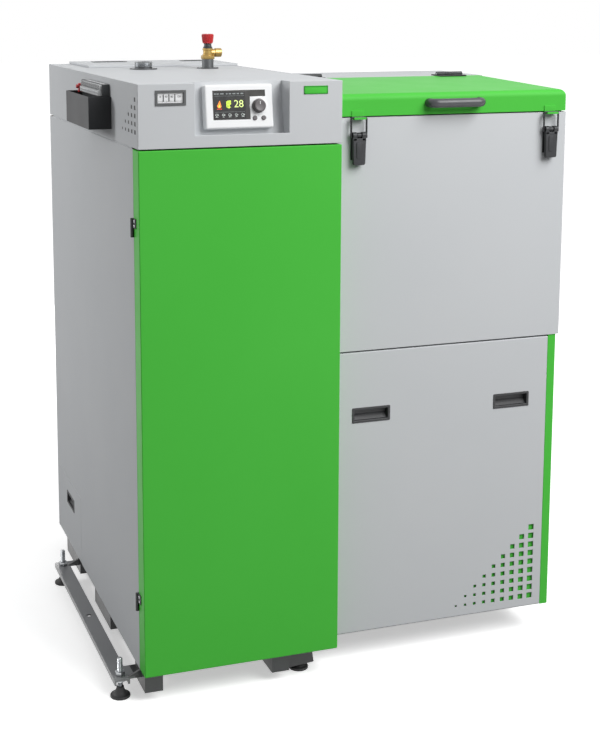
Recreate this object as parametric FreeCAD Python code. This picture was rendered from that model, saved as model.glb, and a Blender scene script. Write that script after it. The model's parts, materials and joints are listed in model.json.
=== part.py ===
"""Coal boiler with a side fuel hopper: casing, water vessel, burner, feeder, hopper and controls.

Layout: X to the right from the boiler's left side, Y to the back from the door's front face,
Z up from the floor, all in millimetres. The finished shapes are shifted so that the origin
lies on the floor at the middle of the whole object's box.
"""
import FreeCAD, Part
import math
import os

V = FreeCAD.Vector

# Sheet metal and clearances
sheet = 2.0              # casing sheet
panel_gap = 1.0          # gap between neighbouring panels
slip = 0.3               # gap between round pieces that pass through each other
running = 0.05           # radial clearance of a pin or shaft that turns

# Boiler casing
boiler_width = 440.0
boiler_depth = 950.0
floor_gap = 65.0         # casing's lower edge above the floor
door_thick = 45.0
door_height = 1124.0
door_gap = 2.0           # door's back to the front frame
hood_gap = 3.0           # door's top to the hood
hood_height = 131.0
frame_border = 20.0      # visible width of the front frame behind the door

# Water vessel
jacket = 30.0            # insulation thickness round the vessel
top_jacket = 25.0
plate = 5.0              # vessel steel
water = 30.0             # water space between the two walls
vessel_front = 100.0
vessel_bottom = 100.0
furnace_depth = 495.0
pass_bottom = 300.0      # lower end of the smoke passes
throat_height = 120.0    # opening from the furnace into the passes

# Inner doors: lower edge and height of each opening, and the overlap of the door on the vessel
opening_width = 240.0
ash_opening = (114.0, 280.0)
fire_opening = (480.0, 240.0)
clean_opening = (860.0, 200.0)
door_overlap = 24.0
inner_door_thick = 12.0
rope_depth = 4.0
rope_width = 10.0
barrel_r = 7.0
inner_hub_reach = 22.0
inner_lever_length = 80.0
inner_lever_thick = 10.0
inner_pin_r = 4.0

# Burner and feeder
feed_y = 350.0
feed_z = 300.0
burner_x = 220.0
tube_r = 60.0
tube_wall = 6.0
bowl_r = 95.0
bowl_height = 98.0
bowl_lip = 10.0
air_box_half = 110.0
air_box_low = 64.0       # air box floor below the feeder's axis
air_box_high = 72.0      # air box roof above the feeder's axis
air_box_depth = 400.0
deflector_z = 600.0
deflector_thick = 30.0
deflector_depth = 200.0
ledge = 15.0
tray_height = 118.0
tray_grip = (80.0, 20.0)  # length, and depth under the tray rim
shaft_r = 14.0
flight_r = 50.0
flight_pitch = 80.0
flight_thick = 5.0
inlet_length = 260.0
inlet_rise = 66.0        # inlet's top above the feeder's axis
tube_tail = 28.0         # feed pipe inside the furnace
inlet_offset = 10.0      # feed inlet left of the hopper middle
flange_r = 75.0
flange_thick = 6.0
gearbox_size = (84.0, 120.0, 140.0)
gearbox_gap = 44.0       # from the feed inlet to the gearbox
feed_motor_r = 41.0      # less than half the gearbox, so that it clears the flange
feed_motor_length = 180.0

# Fan
fan_y = 190.0
fan_z = 330.0
fan_r = 80.0
fan_width = 60.0
fan_gap = 30.0           # from the boiler side to the fan
duct_r = 35.0
duct_drop = 38.0         # duct's axis below the fan's axis
fan_motor_r = 36.0
fan_motor_length = 70.0
impeller_r = 62.0
blade_count = 12
fan_shaft_r = 4.0

# Connections
flue_r = 80.0
flue_wall = 4.0
flue_z = 1010.0
flue_reach = 80.0        # flue spigot behind the casing
flow_at = (163.0, 590.0)
flow_r = 21.0
flow_bore_r = 16.6
flow_rise = 18.0         # socket above the hood
return_at = (110.0, 190.0)
return_reach = 40.0
valve_at = (322.0, 580.0)
nipple_r = 14.0
nipple_bore_r = 8.0
nipple_rise = 23.0
rosette_width = 12.0
rosette_thick = 3.0
valve_body_r = 13.0
valve_hex = 30.0
valve_hex_height = 6.0
valve_body_height = 26.0
valve_outlet_r = 11.0
valve_outlet_bore_r = 6.5
valve_outlet_reach = 34.0
bonnet_r = 11.5
bonnet_height = 12.0
cap_r = 15.0
cap_height = 23.0
cap_ribs = 12
stem_r = 3.0

# Hood, controller niche and side openings
niche_left = 119.0
niche_right = 322.0
niche_floor = 21.0       # niche floor above the hood's lower edge
niche_lip = 4.0
niche_depth_low = 34.0
niche_depth_top = 50.0
bezel_width = 147.0
bezel_height = 91.0
bezel_thick = 20.0
bezel_foot = 12.0        # bezel's lower edge above the niche floor
glass_left = 16.6        # display glass from the bezel's left edge
glass_right = 97.0
glass_strip_right = 130.6
glass_top = 12.3         # display glass from the bezel's top edge
glass_strip_bottom = 26.0
glass_bottom = 73.0
glass_thick = 2.0
knob_at = (115.3, 45.6)  # from the bezel's top left corner
knob_r = 14.5
knob_height = 13.0
button_y = 70.5
button_xs = (106.3, 125.6)
button_r = 4.75
button_height = 2.6
button_travel = 1.2
button_depth = 9.0
gauge_left = 36.0
gauge_width = 64.0
gauge_height = 31.0
gauge_bottom = 87.0      # thermometer above the hood's lower edge
gauge_rim = 1.5
gauge_border = 4.0
gauge_depth = 22.0
gauge_pocket = 3.0
cover_front = 706.0
cover_left = 54.0
cover_height = 6.0
cover_land = 12.0        # cleaning cover's bearing on the hood
grip_insets = (145.0, 58.0)   # from the boiler sides to the middles of the grips
grip_from_back = 70.0
grip_size = (80.0, 24.0, 18.0)
grip_rim = 4.0
rim_thick = 1.2
tray_front = 232.0
tray_length = 241.0
cable_tray_reach = 50.0
cable_tray_low = 22.0    # tray's floor above the hood's lower edge
cable_tray_height = 70.0
block_reach = 16.0       # terminal block outside the hood's wall
block_inside = 40.0
block_low = 35.0
block_height = 82.0
block_margin = 13.0      # terminal block inside the tray's ends
vent_front = 25.0
vent_pitch_y = 27.0
vent_pitch_z = 16.5
vent_low = 33.0
vent_rows = 5
vent_size = (12.0, 9.0)

# Side service cover
side_cover_front = 650.0
side_cover_length = 285.0
side_cover_top = 240.0
side_lip = 10.0

# Flush pulls
pull_size = (92.0, 35.0)
pull_rim = 4.0
pull_depth = 16.0
pull_wall = 2.0
side_pull_y = 778.0
side_pull_z = 188.0
front_pull_z = 580.0
front_pull_inset = 46.0  # outer end of a pull from the panel's edge

# Door hinges
hinge_zs = (219.0, 1028.0)
hinge_half = 20.0
hinge_leaf = 22.0
knuckle_r = 3.5
hinge_pin_r = 1.75

# Base and feet
tray_steel = 3.0
skid_width = 40.0
rail_width = 34.0
rail_height = 12.0
rail_top = 48.0
rail_steel = 4.0
rail_overhang = 22.0
left_foot_x = -39.0
foot_ys = (66.0, 700.0)
leg_spans = ((18.0, 105.0), (345.0, 515.0), (690.0, 860.0))
leg_width = 40.0
leg_steel = 4.0
leg_bottom = 22.0
leg_left = 4.0
leg_right = 292.0
bracket_depth = 46.0
apron_low = 14.0         # foot of the plate in front of a right foot
apron_flare = 6.0
right_foot_x = 372.0
stud_r = 6.0
pad_r = 22.0
pad_edge = 6.0
pad_height = 24.0
nut_across = 19.0
nut_height = 10.0
left_stud_top = 89.0     # the long studs through the outer rail
gusset_thick = 6.0

# Hopper
hopper_front = 48.0
hopper_depth = 642.0
hopper_low_width = 557.0
hopper_width = 564.0
cabinet_bottom = 70.0
cabinet_top = 727.0
side_flange = 20.0
flange_setback = 4.0
panel_depth = 18.0
panel_top_gap = 4.0
casing_rim_z = 1240.0
rim_width = 28.0
bin_wall = 3.0
bin_straight = 800.0
bin_opening_depth = 354.0
ring_border = 18.0
deck_front = 452.0
lid_gap = 3.0
lid_front = 46.0
lid_height = 59.0
lid_fall = 12.0          # top falls towards the front
lid_edge_r = 14.0
lid_corner_r = 6.0
lid_flange = 22.0
seal_width = 12.0
seal_inset = 8.0
hopper_foot_x = 950.0
hopper_foot_ys = (280.0, 640.0)

# Vent holes of the access panel
square_columns = 9
square_pitch_x = 24.0
square_pitch_z = 21.1
square_size = (5.0, 14.0)
square_right_inset = 29.0
square_low = 25.0

# Lid hinges, handle and latches
lid_hinge_spacing = 376.0
lid_hinge_half = 35.0
lid_knuckle_half = 11.7
lid_knuckle_r = 5.0
lid_pin_r = 2.5
lid_leaf = 26.0
lid_leaf_thick = 3.0
handle_length = 140.0
handle_height = 20.0
handle_reach = 32.0
handle_bar = 14.0
handle_end = 18.0
handle_low = 15.0        # handle above the lid's lower edge
handle_round = 4.0
latch_insets = (54.0, 44.0)   # latches from the hopper's left and right sides
latch_width = 31.0
latch_length = 64.0
latch_front = 7.0        # lever in front of its pivot
latch_back = 3.0
latch_pivot_z = 1203.0
latch_pivot_reach = 10.0
latch_plate = 2.0
latch_ear = 10.0
latch_ear_r = 5.0
latch_pin_r = 2.0
latch_crank = 6.0        # bail's pivot from the lever's pivot
bail_r = 1.6
bail_rise = 44.0
trunnion_depth = 5.0
keeper_width = 28.0
keeper_steel = 2.0
keeper_height = 16.0
keeper_lip = 4.7
hook_gap = 4.8           # bail to the keeper's lip
hook_floor_gap = 0.4

# Places worked out from the sizes
casing_front = door_thick + door_gap
door_top = floor_gap + door_height
hood_bottom = door_top + hood_gap
hood_top = hood_bottom + hood_height
vessel_left = sheet + jacket
vessel_right = boiler_width - vessel_left
vessel_back = boiler_depth - sheet - jacket
vessel_top = door_top - top_jacket
wall = plate + water + plate
gas_left = vessel_left + wall
gas_right = vessel_right - wall
gas_floor = vessel_bottom + 2 * plate
gas_roof = vessel_top - wall
furnace_back = vessel_front + plate + furnace_depth
pass_front = furnace_back + wall
pass_back = vessel_back - wall
hatch_front = pass_front + 2 * plate
hatch_back = pass_back - 2 * plate
inner_door_front = vessel_front - rope_depth - inner_door_thick
tube_start = gas_right - tube_tail
niche_z = hood_bottom + niche_floor
niche_tilt = math.degrees(math.atan2(niche_depth_top - niche_depth_low, hood_top - niche_z))
niche_middle = (niche_left + niche_right) / 2
hopper_left = boiler_width
fan_x = boiler_width + fan_gap
grip_xs = (grip_insets[0], boiler_width - grip_insets[1])
grip_y = boiler_depth - grip_from_back
hopper_back = hopper_front + hopper_depth
hopper_right = hopper_left + hopper_width
hopper_low_right = hopper_left + hopper_low_width
hopper_middle = hopper_left + hopper_width / 2
panel_left = hopper_left + sheet + panel_gap
panel_right = hopper_low_right - side_flange - panel_gap
panel_top = cabinet_top - panel_top_gap
cabinet_floor = cabinet_bottom + sheet
lid_bottom = casing_rim_z + lid_gap
lid_top = lid_bottom + lid_height
lid_back = deck_front - lid_gap
lid_axis_y = deck_front - lid_gap / 2
lid_axis_z = lid_top + lid_knuckle_r + slip
bin_left = hopper_left + rim_width
bin_right = hopper_right - rim_width
bin_front = hopper_front + rim_width
bin_back = bin_front + bin_opening_depth
outlet_z = feed_z + inlet_rise
inlet_x = hopper_middle - inlet_offset
tube_bore = tube_r - tube_wall
inlet_left = inlet_x - inlet_length / 2
inlet_right = inlet_x + inlet_length / 2
gearbox_x = inlet_right + gearbox_gap
latch_xs = (hopper_left + latch_insets[0], hopper_right - latch_insets[1])
latch_y = hopper_front - latch_pivot_reach
bail_z = latch_pivot_z - latch_crank + bail_rise
duct_z = fan_z - duct_drop
hinge_axis = (-knuckle_r, door_thick + door_gap / 2)
left_reach = max(rail_width / 2, pad_r) - left_foot_x
front_reach = gauge_rim
back_reach = boiler_depth + flue_reach
origin = V((hopper_right - left_reach) / 2, (back_reach - front_reach) / 2, 0)


def box(x, y, z):
    """Box between two limits on each axis."""
    return Part.makeBox(x[1] - x[0], y[1] - y[0], z[1] - z[0], V(x[0], y[0], z[0]))


def rod(axis, at, r, low, high):
    """Cylinder along X, Y or Z; at gives its place on the other two axes."""
    if axis == "X":
        return Part.makeCylinder(r, high - low, V(low, at[0], at[1]), V(1, 0, 0))
    if axis == "Y":
        return Part.makeCylinder(r, high - low, V(at[0], low, at[1]), V(0, 1, 0))
    return Part.makeCylinder(r, high - low, V(at[0], at[1], low), V(0, 0, 1))


def pipe(axis, at, r, bore, low, high):
    """Round tube along one axis."""
    return rod(axis, at, r, low, high).cut(rod(axis, at, bore, low, high))


def grown(x, y, z, by):
    """Box larger than its limits by the same amount all round."""
    return box(*[(low - by, high + by) for low, high in (x, y, z)])


def prism(points, axis, low, high):
    """Polygon in the plane across an axis, drawn out along it between two places."""
    place = {"X": lambda a, b: V(low, a, b), "Y": lambda a, b: V(a, low, b), "Z": lambda a, b: V(a, b, low)}
    along = {"X": V(1, 0, 0), "Y": V(0, 1, 0), "Z": V(0, 0, 1)}
    corners = [place[axis](a, b) for a, b in points]
    face = Part.Face(Part.makePolygon(corners + corners[:1]))
    return face.extrude(along[axis] * (high - low))


def hexagon(at, across, low, high):
    """Upright hexagonal prism."""
    r = across / math.sqrt(3)
    turns = [math.radians(60 * i) for i in range(6)]
    return prism([(at[0] + r * math.cos(t), at[1] + r * math.sin(t)) for t in turns], "Z", low, high)


def join(shapes):
    """Fuse shapes into one solid and merge the faces that continue each other."""
    return shapes[0].fuse(shapes[1:]).removeSplitter()


def group(shapes):
    """Separate solids kept together in one node."""
    return Part.makeCompound(shapes)


def soften(shape, radius, picks):
    """Round the edges of a shape that a test picks by their middle point and direction."""
    chosen = [e for e in shape.Edges if picks(e.CenterOfMass, e.tangentAt(e.FirstParameter))]
    return shape.makeFillet(radius, chosen)


def feet_places():
    """Foot centres with the height and thickness of the steel that each carries."""
    rail = [(left_foot_x, y, rail_top, rail_steel) for y in foot_ys]
    legs = [(right_foot_x, y, floor_gap - tray_steel - nut_height, rail_steel) for y in foot_ys]
    hopper = [(hopper_foot_x, y, cabinet_floor, sheet) for y in hopper_foot_ys]
    return rail + legs + hopper


def leg(x, y):
    """Channel leg, open at its back, from the floor side up to the base tray."""
    z = (leg_bottom, floor_gap - tray_steel)
    hollow = box((x + leg_steel, x + leg_width - leg_steel), (y[0] + leg_steel, y[1]),
                 (z[0] + leg_steel, z[1]))
    return box((x, x + leg_width), y, z).cut(hollow)


def base_frame():
    """Welded base: tray, vessel skids, six legs, the right foot brackets and the outer rail."""
    tray_z = (floor_gap - tray_steel, floor_gap)
    depth = (casing_front, boiler_depth - sheet)
    tray = box((sheet, boiler_width - sheet), depth, tray_z)
    skids = [box((x, x + skid_width), (vessel_front, vessel_back), (floor_gap, vessel_bottom))
             for x in (vessel_left, vessel_right - skid_width)]
    legs = [leg(x, y) for y in leg_spans for x in (leg_left, leg_right)]
    seat = tray_z[0] - nut_height
    brackets = []
    for at in foot_ys:
        y = (at - bracket_depth / 2, at + bracket_depth / 2)
        x = (leg_right + leg_width, right_foot_x + pad_r)
        plates = box(x, y, (seat - rail_steel, tray_z[0])).cut(
            box((x[0], x[1] - leg_steel), y, (seat, tray_z[0])))
        apron = [(x[0], tray_z[0]), (x[1], tray_z[0]), (x[1] + apron_flare, apron_low + apron_flare),
                 (x[0], apron_low)]
        plates = plates.fuse(prism(apron, "Y", y[0], y[0] + tray_steel))
        brackets.append(plates.cut(rod("Z", (right_foot_x, at), stud_r + slip, 0, tray_z[0])))
    return join([tray] + skids + legs + brackets + left_rail())


def left_rail():
    """Channel with its web up, and a gusset at each end that reaches to the leg."""
    x = (left_foot_x - rail_width / 2, left_foot_x + rail_width / 2)
    y = (foot_ys[0] - rail_overhang, foot_ys[1] + rail_overhang)
    web = (rail_top - rail_steel, rail_top)
    channel = box(x, y, (rail_top - rail_height, rail_top))
    channel = channel.cut(box((x[0] + rail_steel, x[1] - rail_steel), y, (rail_top - rail_height, web[0])))
    middle = (y[0] + y[1]) / 2
    holes = [rod("Z", (left_foot_x, at), stud_r + slip, *web) for at in (middle, *foot_ys)]
    pieces = [channel.cut(holes)]
    for low, high in (leg_spans[0], leg_spans[2]):
        at = max(low, y[0]) + gusset_thick
        points = [(x[1] - rail_steel, rail_top), (leg_left, rail_top), (leg_left, floor_gap - tray_steel)]
        pieces.append(prism(points, "Y", at, at + gusset_thick))
        pieces.append(box((x[1] - rail_steel, leg_left), (at, min(high, y[1])), web))
    return pieces


def levelling_feet():
    """Six feet: a flared pad, a threaded stud and a nut on each side of the steel that it carries."""
    solids = []
    for x, y, top, steel in feet_places():
        disc = rod("Z", (x, y), pad_r, 0, pad_edge)
        flare = Part.makeCone(pad_r * 0.8, stud_r * 1.4, pad_height - pad_edge, V(x, y, pad_edge))
        solids.append(join([disc, flare]).cut(rod("Z", (x, y), stud_r, pad_height / 2, pad_height)))
        end = left_stud_top if x < 0 else top + nut_height
        solids.append(rod("Z", (x, y), stud_r, pad_height / 2, end))
        for low in (top, top - steel - nut_height):
            nut = hexagon((x, y), nut_across, low, low + nut_height)
            solids.append(nut.cut(rod("Z", (x, y), stud_r, low, low + nut_height)))
    return group(solids)


def gas_spaces():
    """Furnace, throat and smoke passes as limits of boxes."""
    x = (gas_left, gas_right)
    furnace = (x, (vessel_front + plate, furnace_back), (gas_floor, gas_roof))
    throat = (x, (furnace_back - plate, pass_front + plate), (gas_roof - throat_height, gas_roof))
    passes = (x, (pass_front, pass_back), (pass_bottom, gas_roof))
    return [furnace, throat, passes]


def hatch_limits():
    """Cleaning hatch over the smoke passes."""
    return ((gas_left + 3 * plate, gas_right - 3 * plate), (hatch_front, hatch_back))


def door_limits(opening, by=0.0):
    """Opening of an inner door, or the door itself when grown by its overlap."""
    middle = boiler_width / 2
    half = opening_width / 2 + by
    return (middle - half, middle + half), (opening[0] - by, opening[0] + opening[1] + by)


def water_vessel():
    """Double-walled steel vessel round the furnace and the smoke passes, with its openings."""
    outer = ((vessel_left, vessel_right), (vessel_front, vessel_back), (vessel_bottom, vessel_top))
    spaces = gas_spaces()
    hatch = (*hatch_limits(), (gas_roof - plate, vessel_top))
    side = (gas_right - plate, vessel_right + plate)
    back = (pass_back - plate, vessel_back + plate)
    holes = [rod("X", (feed_y, feed_z), tube_r + panel_gap, *side),
             rod("X", (fan_y, duct_z), duct_r + panel_gap, *side),
             rod("Y", (boiler_width / 2, flue_z), flue_r - flue_wall, *back)]
    collars = [rod("X", (feed_y, feed_z), tube_r + panel_gap + plate, *side),
               rod("X", (fan_y, duct_z), duct_r + panel_gap + plate, *side),
               rod("Y", (boiler_width / 2, flue_z), flue_r + plate, *back),
               grown(*hatch, plate)]
    water_space = grown(*outer, -plate).cut([grown(*space, plate) for space in spaces] + collars)
    vessel = box(*outer).cut([water_space] + [box(*space) for space in spaces] + holes + [box(*hatch)])
    for opening in (ash_opening, fire_opening, clean_opening):
        x, z = door_limits(opening)
        vessel = vessel.cut(box(x, (vessel_front, vessel_front + plate), z))
    top = (vessel_top - plate, vessel_top)
    vessel = vessel.cut([rod("Z", flow_at, flow_bore_r, *top), rod("Z", valve_at, nipple_bore_r, *top),
                         rod("Y", return_at, flow_bore_r, vessel_back - plate, vessel_back)])
    y = (feed_y - deflector_depth / 2, feed_y + deflector_depth / 2)
    z = (deflector_z - ledge, deflector_z)
    return join([vessel, box((gas_left, gas_left + ledge), y, z), box((gas_right - ledge, gas_right), y, z)])


def retort_burner():
    """Cast burner: air box on the furnace's right wall, feed elbow and the bowl above it."""
    x = (burner_x - air_box_half, gas_right)
    y = (feed_y - air_box_depth / 2, feed_y + air_box_depth / 2)
    z = (feed_z - air_box_low, feed_z + air_box_high)
    shell = box(x, y, z).cut(grown(x, y, z, -tube_wall))
    neck = rod("X", (feed_y, feed_z), tube_r, burner_x, tube_start)
    riser = rod("Z", (burner_x, feed_y), tube_r, feed_z, z[1])
    knee = Part.makeSphere(tube_r, V(burner_x, feed_y, feed_z))
    bowl = rod("Z", (burner_x, feed_y), bowl_r, z[1], z[1] + bowl_height)
    cone = Part.makeCone(tube_bore, bowl_r - bowl_lip, bowl_height, V(burner_x, feed_y, z[1]))
    burner = join([shell, neck, riser, knee, bowl])
    return burner.cut([cone, rod("Z", (burner_x, feed_y), tube_bore, feed_z, z[1]),
                       rod("X", (feed_y, feed_z), tube_bore, burner_x, tube_start),
                       Part.makeSphere(tube_bore, V(burner_x, feed_y, feed_z)),
                       rod("X", (feed_y, feed_z), tube_r + slip, tube_start, gas_right),
                       rod("X", (fan_y, duct_z), duct_r + slip, gas_right - tube_wall, gas_right)])


def flame_deflector():
    """Heat-proof slab on the furnace's ledges above the burner."""
    return box((gas_left + panel_gap, gas_right - panel_gap),
               (feed_y - deflector_depth / 2, feed_y + deflector_depth / 2),
               (deflector_z, deflector_z + deflector_thick))


def ash_drawer():
    """Open sheet tray on the furnace floor with a grip at its front."""
    x = door_limits(ash_opening, -2 * plate)[0]
    y = (vessel_front + 2 * plate, furnace_back - plate)
    z = (gas_floor, gas_floor + tray_height)
    tray = box(x, y, z).cut(box((x[0] + sheet, x[1] - sheet), (y[0] + sheet, y[1] - sheet),
                                (z[0] + sheet, z[1])))
    middle = (x[0] + x[1]) / 2
    high = z[1] - tray_grip[1]
    grip = box((middle - tray_grip[0] / 2, middle + tray_grip[0] / 2), (y[0] - plate, y[0]),
               (high - tray_grip[1] / 2, high))
    return join([tray, grip])


def inner_door(opening):
    """Steel door with a sealing rope frame against the vessel and two hinge barrels at its left."""
    x, z = door_limits(opening, door_overlap)
    front = inner_door_front
    leaf = box(x, (front, front + inner_door_thick), z)
    rope = box(x, (front + inner_door_thick, vessel_front), z)
    rx, rz = door_limits(opening, door_overlap - rope_width)
    rope = rope.cut(box(rx, (front, vessel_front), rz))
    pieces = [leaf, rope]
    for low, high in barrel_spans(opening):
        at = (x[0] - barrel_r, front + inner_door_thick / 2)
        pieces.append(rod("Z", at, barrel_r, low, high))
        pieces.append(box((at[0], x[0]), (at[1] - plate / 2, at[1] + plate / 2), (low, high)))
    return join(pieces).cut([rod("Z", (x[0] - barrel_r, front + inner_door_thick / 2), inner_pin_r, *span)
                             for span in barrel_spans(opening)])


def barrel_spans(opening):
    """Heights of the two hinge barrels of an inner door."""
    low, high = door_limits(opening, door_overlap)[1]
    length = 5 * barrel_r
    return [(low + length, low + 2 * length), (high - 2 * length, high - length)]


def inner_door_fittings():
    """Hinge pins on brackets, and the lever handles of the three inner doors."""
    solids = []
    for opening in (ash_opening, fire_opening, clean_opening):
        x, z = door_limits(opening, door_overlap)
        at = (x[0] - barrel_r, inner_door_front + inner_door_thick / 2)
        for low, high in barrel_spans(opening):
            bracket = box((at[0] - barrel_r, at[0] + barrel_r - panel_gap), (at[1] - barrel_r, vessel_front),
                          (low - barrel_r, low))
            solids.append(join([bracket, rod("Z", at, inner_pin_r, low, high)]))
        middle = (z[0] + z[1]) / 2
        hub_x = x[1] - door_overlap
        near = inner_door_front - inner_hub_reach
        hub = rod("Y", (hub_x, middle), barrel_r, near, inner_door_front)
        lever = box((hub_x - inner_lever_length, hub_x + barrel_r), (near - inner_lever_thick, near),
                    (middle - barrel_r, middle + barrel_r))
        solids.append(join([hub, lever]))
    return group(solids)


def turbulators():
    """Four zigzag strips standing in the smoke passes."""
    count = 4
    steps = 8
    room = gas_right - gas_left
    height = (gas_roof - pass_bottom - 2 * wall) / steps
    middle = (pass_front + pass_back) / 2
    swing = (pass_back - pass_front) / 4
    solids = []
    for i in range(count):
        x = gas_left + room * (i + 0.5) / count
        side = [(middle + swing * (-1) ** k, pass_bottom + height * k) for k in range(steps + 1)]
        back = [(y + plate, z) for y, z in reversed(side)]
        solids.append(prism(side + back, "X", x - room / 16, x + room / 16))
    return group(solids)


def exchanger_hatch():
    """Flat lid over the smoke passes with two lifting bars."""
    x, y = hatch_limits()
    lid = box((x[0] - 2 * plate, x[1] + 2 * plate), (y[0] - 2 * plate, y[1] + 2 * plate),
              (vessel_top, vessel_top + 2 * plate))
    bars = []
    for bar_x in (x[0] + ledge, x[1] - 2 * ledge):
        low = vessel_top + 2 * plate
        arch = box((bar_x, bar_x + ledge), (y[0] + ledge, y[1] - ledge), (low, low + 2 * ledge))
        bars.append(arch.cut(box((bar_x, bar_x + ledge), (y[0] + 2 * ledge, y[1] - 2 * ledge),
                                 (low, low + ledge))))
    return join([lid] + bars)


def insulation_jacket():
    """Mineral wool slabs at the left, right, back and top of the vessel."""
    y = (vessel_front, vessel_back)
    z = (vessel_bottom, vessel_top)
    left = box((sheet, vessel_left), y, z).cut(
        box((sheet, sheet + 2 * pull_depth),
            (side_cover_front - 2 * side_lip, side_cover_front + side_cover_length + 2 * side_lip),
            (vessel_bottom, side_cover_top + 2 * side_lip)))
    side = (vessel_right, boiler_width - sheet)
    right = box(side, y, z).cut([rod("X", (feed_y, feed_z), tube_r + panel_gap, *side),
                                 rod("X", (fan_y, duct_z), duct_r + panel_gap, *side)])
    behind = (vessel_back, boiler_depth - sheet)
    back = box((vessel_left, vessel_right), behind, z).cut(
        [rod("Y", (boiler_width / 2, flue_z), flue_r + slip, *behind),
         rod("Y", return_at, flow_r + slip, *behind)])
    above = (vessel_top, door_top)
    hx, hy = hatch_limits()
    top = box((3 * sheet, boiler_width - 3 * sheet), (vessel_front, boiler_depth - sheet), above).cut(
        [box((hx[0] - 3 * plate, hx[1] + 3 * plate), (hy[0] - 3 * plate, hy[1] + 3 * plate), above),
         rod("Y", (boiler_width / 2, flue_z), flue_r + slip, *behind),
         rod("Z", flow_at, flow_r + slip, *above), rod("Z", valve_at, nipple_r + slip, *above)])
    return group([left, right, back, top])


def flue_spigot():
    """Smoke outlet tube behind the boiler with a collar against the rear panel."""
    at = (boiler_width / 2, flue_z)
    tube = pipe("Y", at, flue_r, flue_r - flue_wall, vessel_back, back_reach)
    collar = (boiler_depth, boiler_depth + sheet)
    return join([tube, pipe("Y", at, flue_r + 3 * plate, flue_r - flue_wall, *collar)])


def water_stubs():
    """Flow socket and safety valve nipple on top, return pipe at the back, and the top rosettes."""
    flow = pipe("Z", flow_at, flow_r, flow_bore_r, vessel_top, hood_top + flow_rise)
    nipple = pipe("Z", valve_at, nipple_r, nipple_bore_r, vessel_top, hood_top + nipple_rise)
    back = pipe("Y", return_at, flow_r, flow_bore_r, vessel_back, boiler_depth + return_reach)
    rings = [pipe("Z", at, r + rosette_width, r + slip, hood_top, hood_top + rosette_thick)
             for at, r in ((flow_at, flow_r), (valve_at, nipple_r))]
    return group([flow, nipple, back] + rings)


def side_cover_limits(by=0.0):
    """Service cover in the left side panel."""
    return ((side_cover_front - by, side_cover_front + side_cover_length + by),
            (floor_gap + panel_gap - by, side_cover_top + by))


def left_side_panel():
    """Left casing sheet with the service opening and the lips behind its edges."""
    y, z = side_cover_limits(panel_gap)
    skin = box((0, sheet), (casing_front, boiler_depth), (floor_gap, door_top)).cut(box((0, sheet), y, z))
    skin = skin.cut(box((0, sheet), y, (floor_gap, z[1])))
    by, bz = side_cover_limits(side_lip)
    iy, iz = side_cover_limits(-side_lip)
    behind = (sheet, 2 * sheet)
    lips = box(behind, by, (floor_gap, bz[1])).cut(box(behind, iy, (floor_gap, iz[1])))
    return join([skin, lips])


def right_side_panel():
    """Right casing sheet with the holes for the feeder tube and the air duct."""
    x = (boiler_width - sheet, boiler_width)
    skin = box(x, (casing_front, boiler_depth), (floor_gap, door_top))
    return skin.cut([rod("X", (feed_y, feed_z), tube_r + panel_gap, *x),
                     rod("X", (fan_y, duct_z), duct_r + panel_gap, *x)])


def rear_panel():
    """Back casing sheet with the flue and return holes."""
    y = (boiler_depth - sheet, boiler_depth)
    skin = box((sheet, boiler_width - sheet), y, (floor_gap, door_top))
    return skin.cut([rod("Y", (boiler_width / 2, flue_z), flue_r + slip, *y),
                     rod("Y", return_at, flow_r + slip, *y)])


def front_frame():
    """Sheet frame behind the front door with a reveal back to the vessel."""
    x = (sheet, boiler_width - sheet)
    z = (floor_gap, door_top)
    inner = ((x[0] + frame_border, x[1] - frame_border), (z[0] + frame_border, z[1] - frame_border))
    face = box(x, (casing_front, casing_front + sheet), z)
    reveal = box((inner[0][0] - sheet, inner[0][1] + sheet), (casing_front + sheet, vessel_front),
                 (inner[1][0] - sheet, inner[1][1] + sheet))
    return join([face, reveal]).cut(box(inner[0], (casing_front, vessel_front), inner[1]))


def flush_pull(at, z):
    """Recessed pull on a panel that faces -Y at y = 0: a rim in front and a cup behind."""
    half = pull_size[0] / 2
    tall = pull_size[1] / 2
    rim = box((at - half, at + half), (-rim_thick, 0), (z - tall, z + tall))
    cup = box((at - half + pull_rim, at + half - pull_rim), (0, pull_depth),
              (z - tall + pull_rim, z + tall - pull_rim))
    inset = pull_rim + pull_wall
    top = z + tall - inset
    low = z - tall + inset
    hollow = [(-rim_thick, low), (-rim_thick, top), (pull_depth - pull_wall, top),
              (pull_depth - pull_wall, z)]
    room = prism(hollow, "X", at - half + inset, at + half - inset)
    return join([rim, cup]).cut(room)


def pull_hole(at, z, depth):
    """Cut-out of a panel for a flush pull."""
    half = pull_size[0] / 2 - pull_rim + slip
    tall = pull_size[1] / 2 - pull_rim + slip
    return box((at - half, at + half), (0, depth), (z - tall, z + tall))


def on_left_side(shape):
    """Turn a shape made on a -Y panel so that it faces -X with its X running forward."""
    turned = shape.copy()
    turned.rotate(V(0, 0, 0), V(0, 0, 1), -90)
    return turned


def side_service_cover():
    """Flat cover in the left side panel."""
    y, z = side_cover_limits()
    return box((0, sheet), y, z).cut(on_left_side(pull_hole(-side_pull_y, side_pull_z, sheet)))


def side_cover_pull():
    """Flush pull of the service cover."""
    return on_left_side(flush_pull(-side_pull_y, side_pull_z))


def block_limits():
    """Terminal block in the hood's left wall."""
    return ((-block_reach, block_inside),
            (tray_front + block_margin, tray_front + tray_length - block_margin),
            (hood_bottom + block_low, hood_bottom + block_low + block_height))


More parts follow.
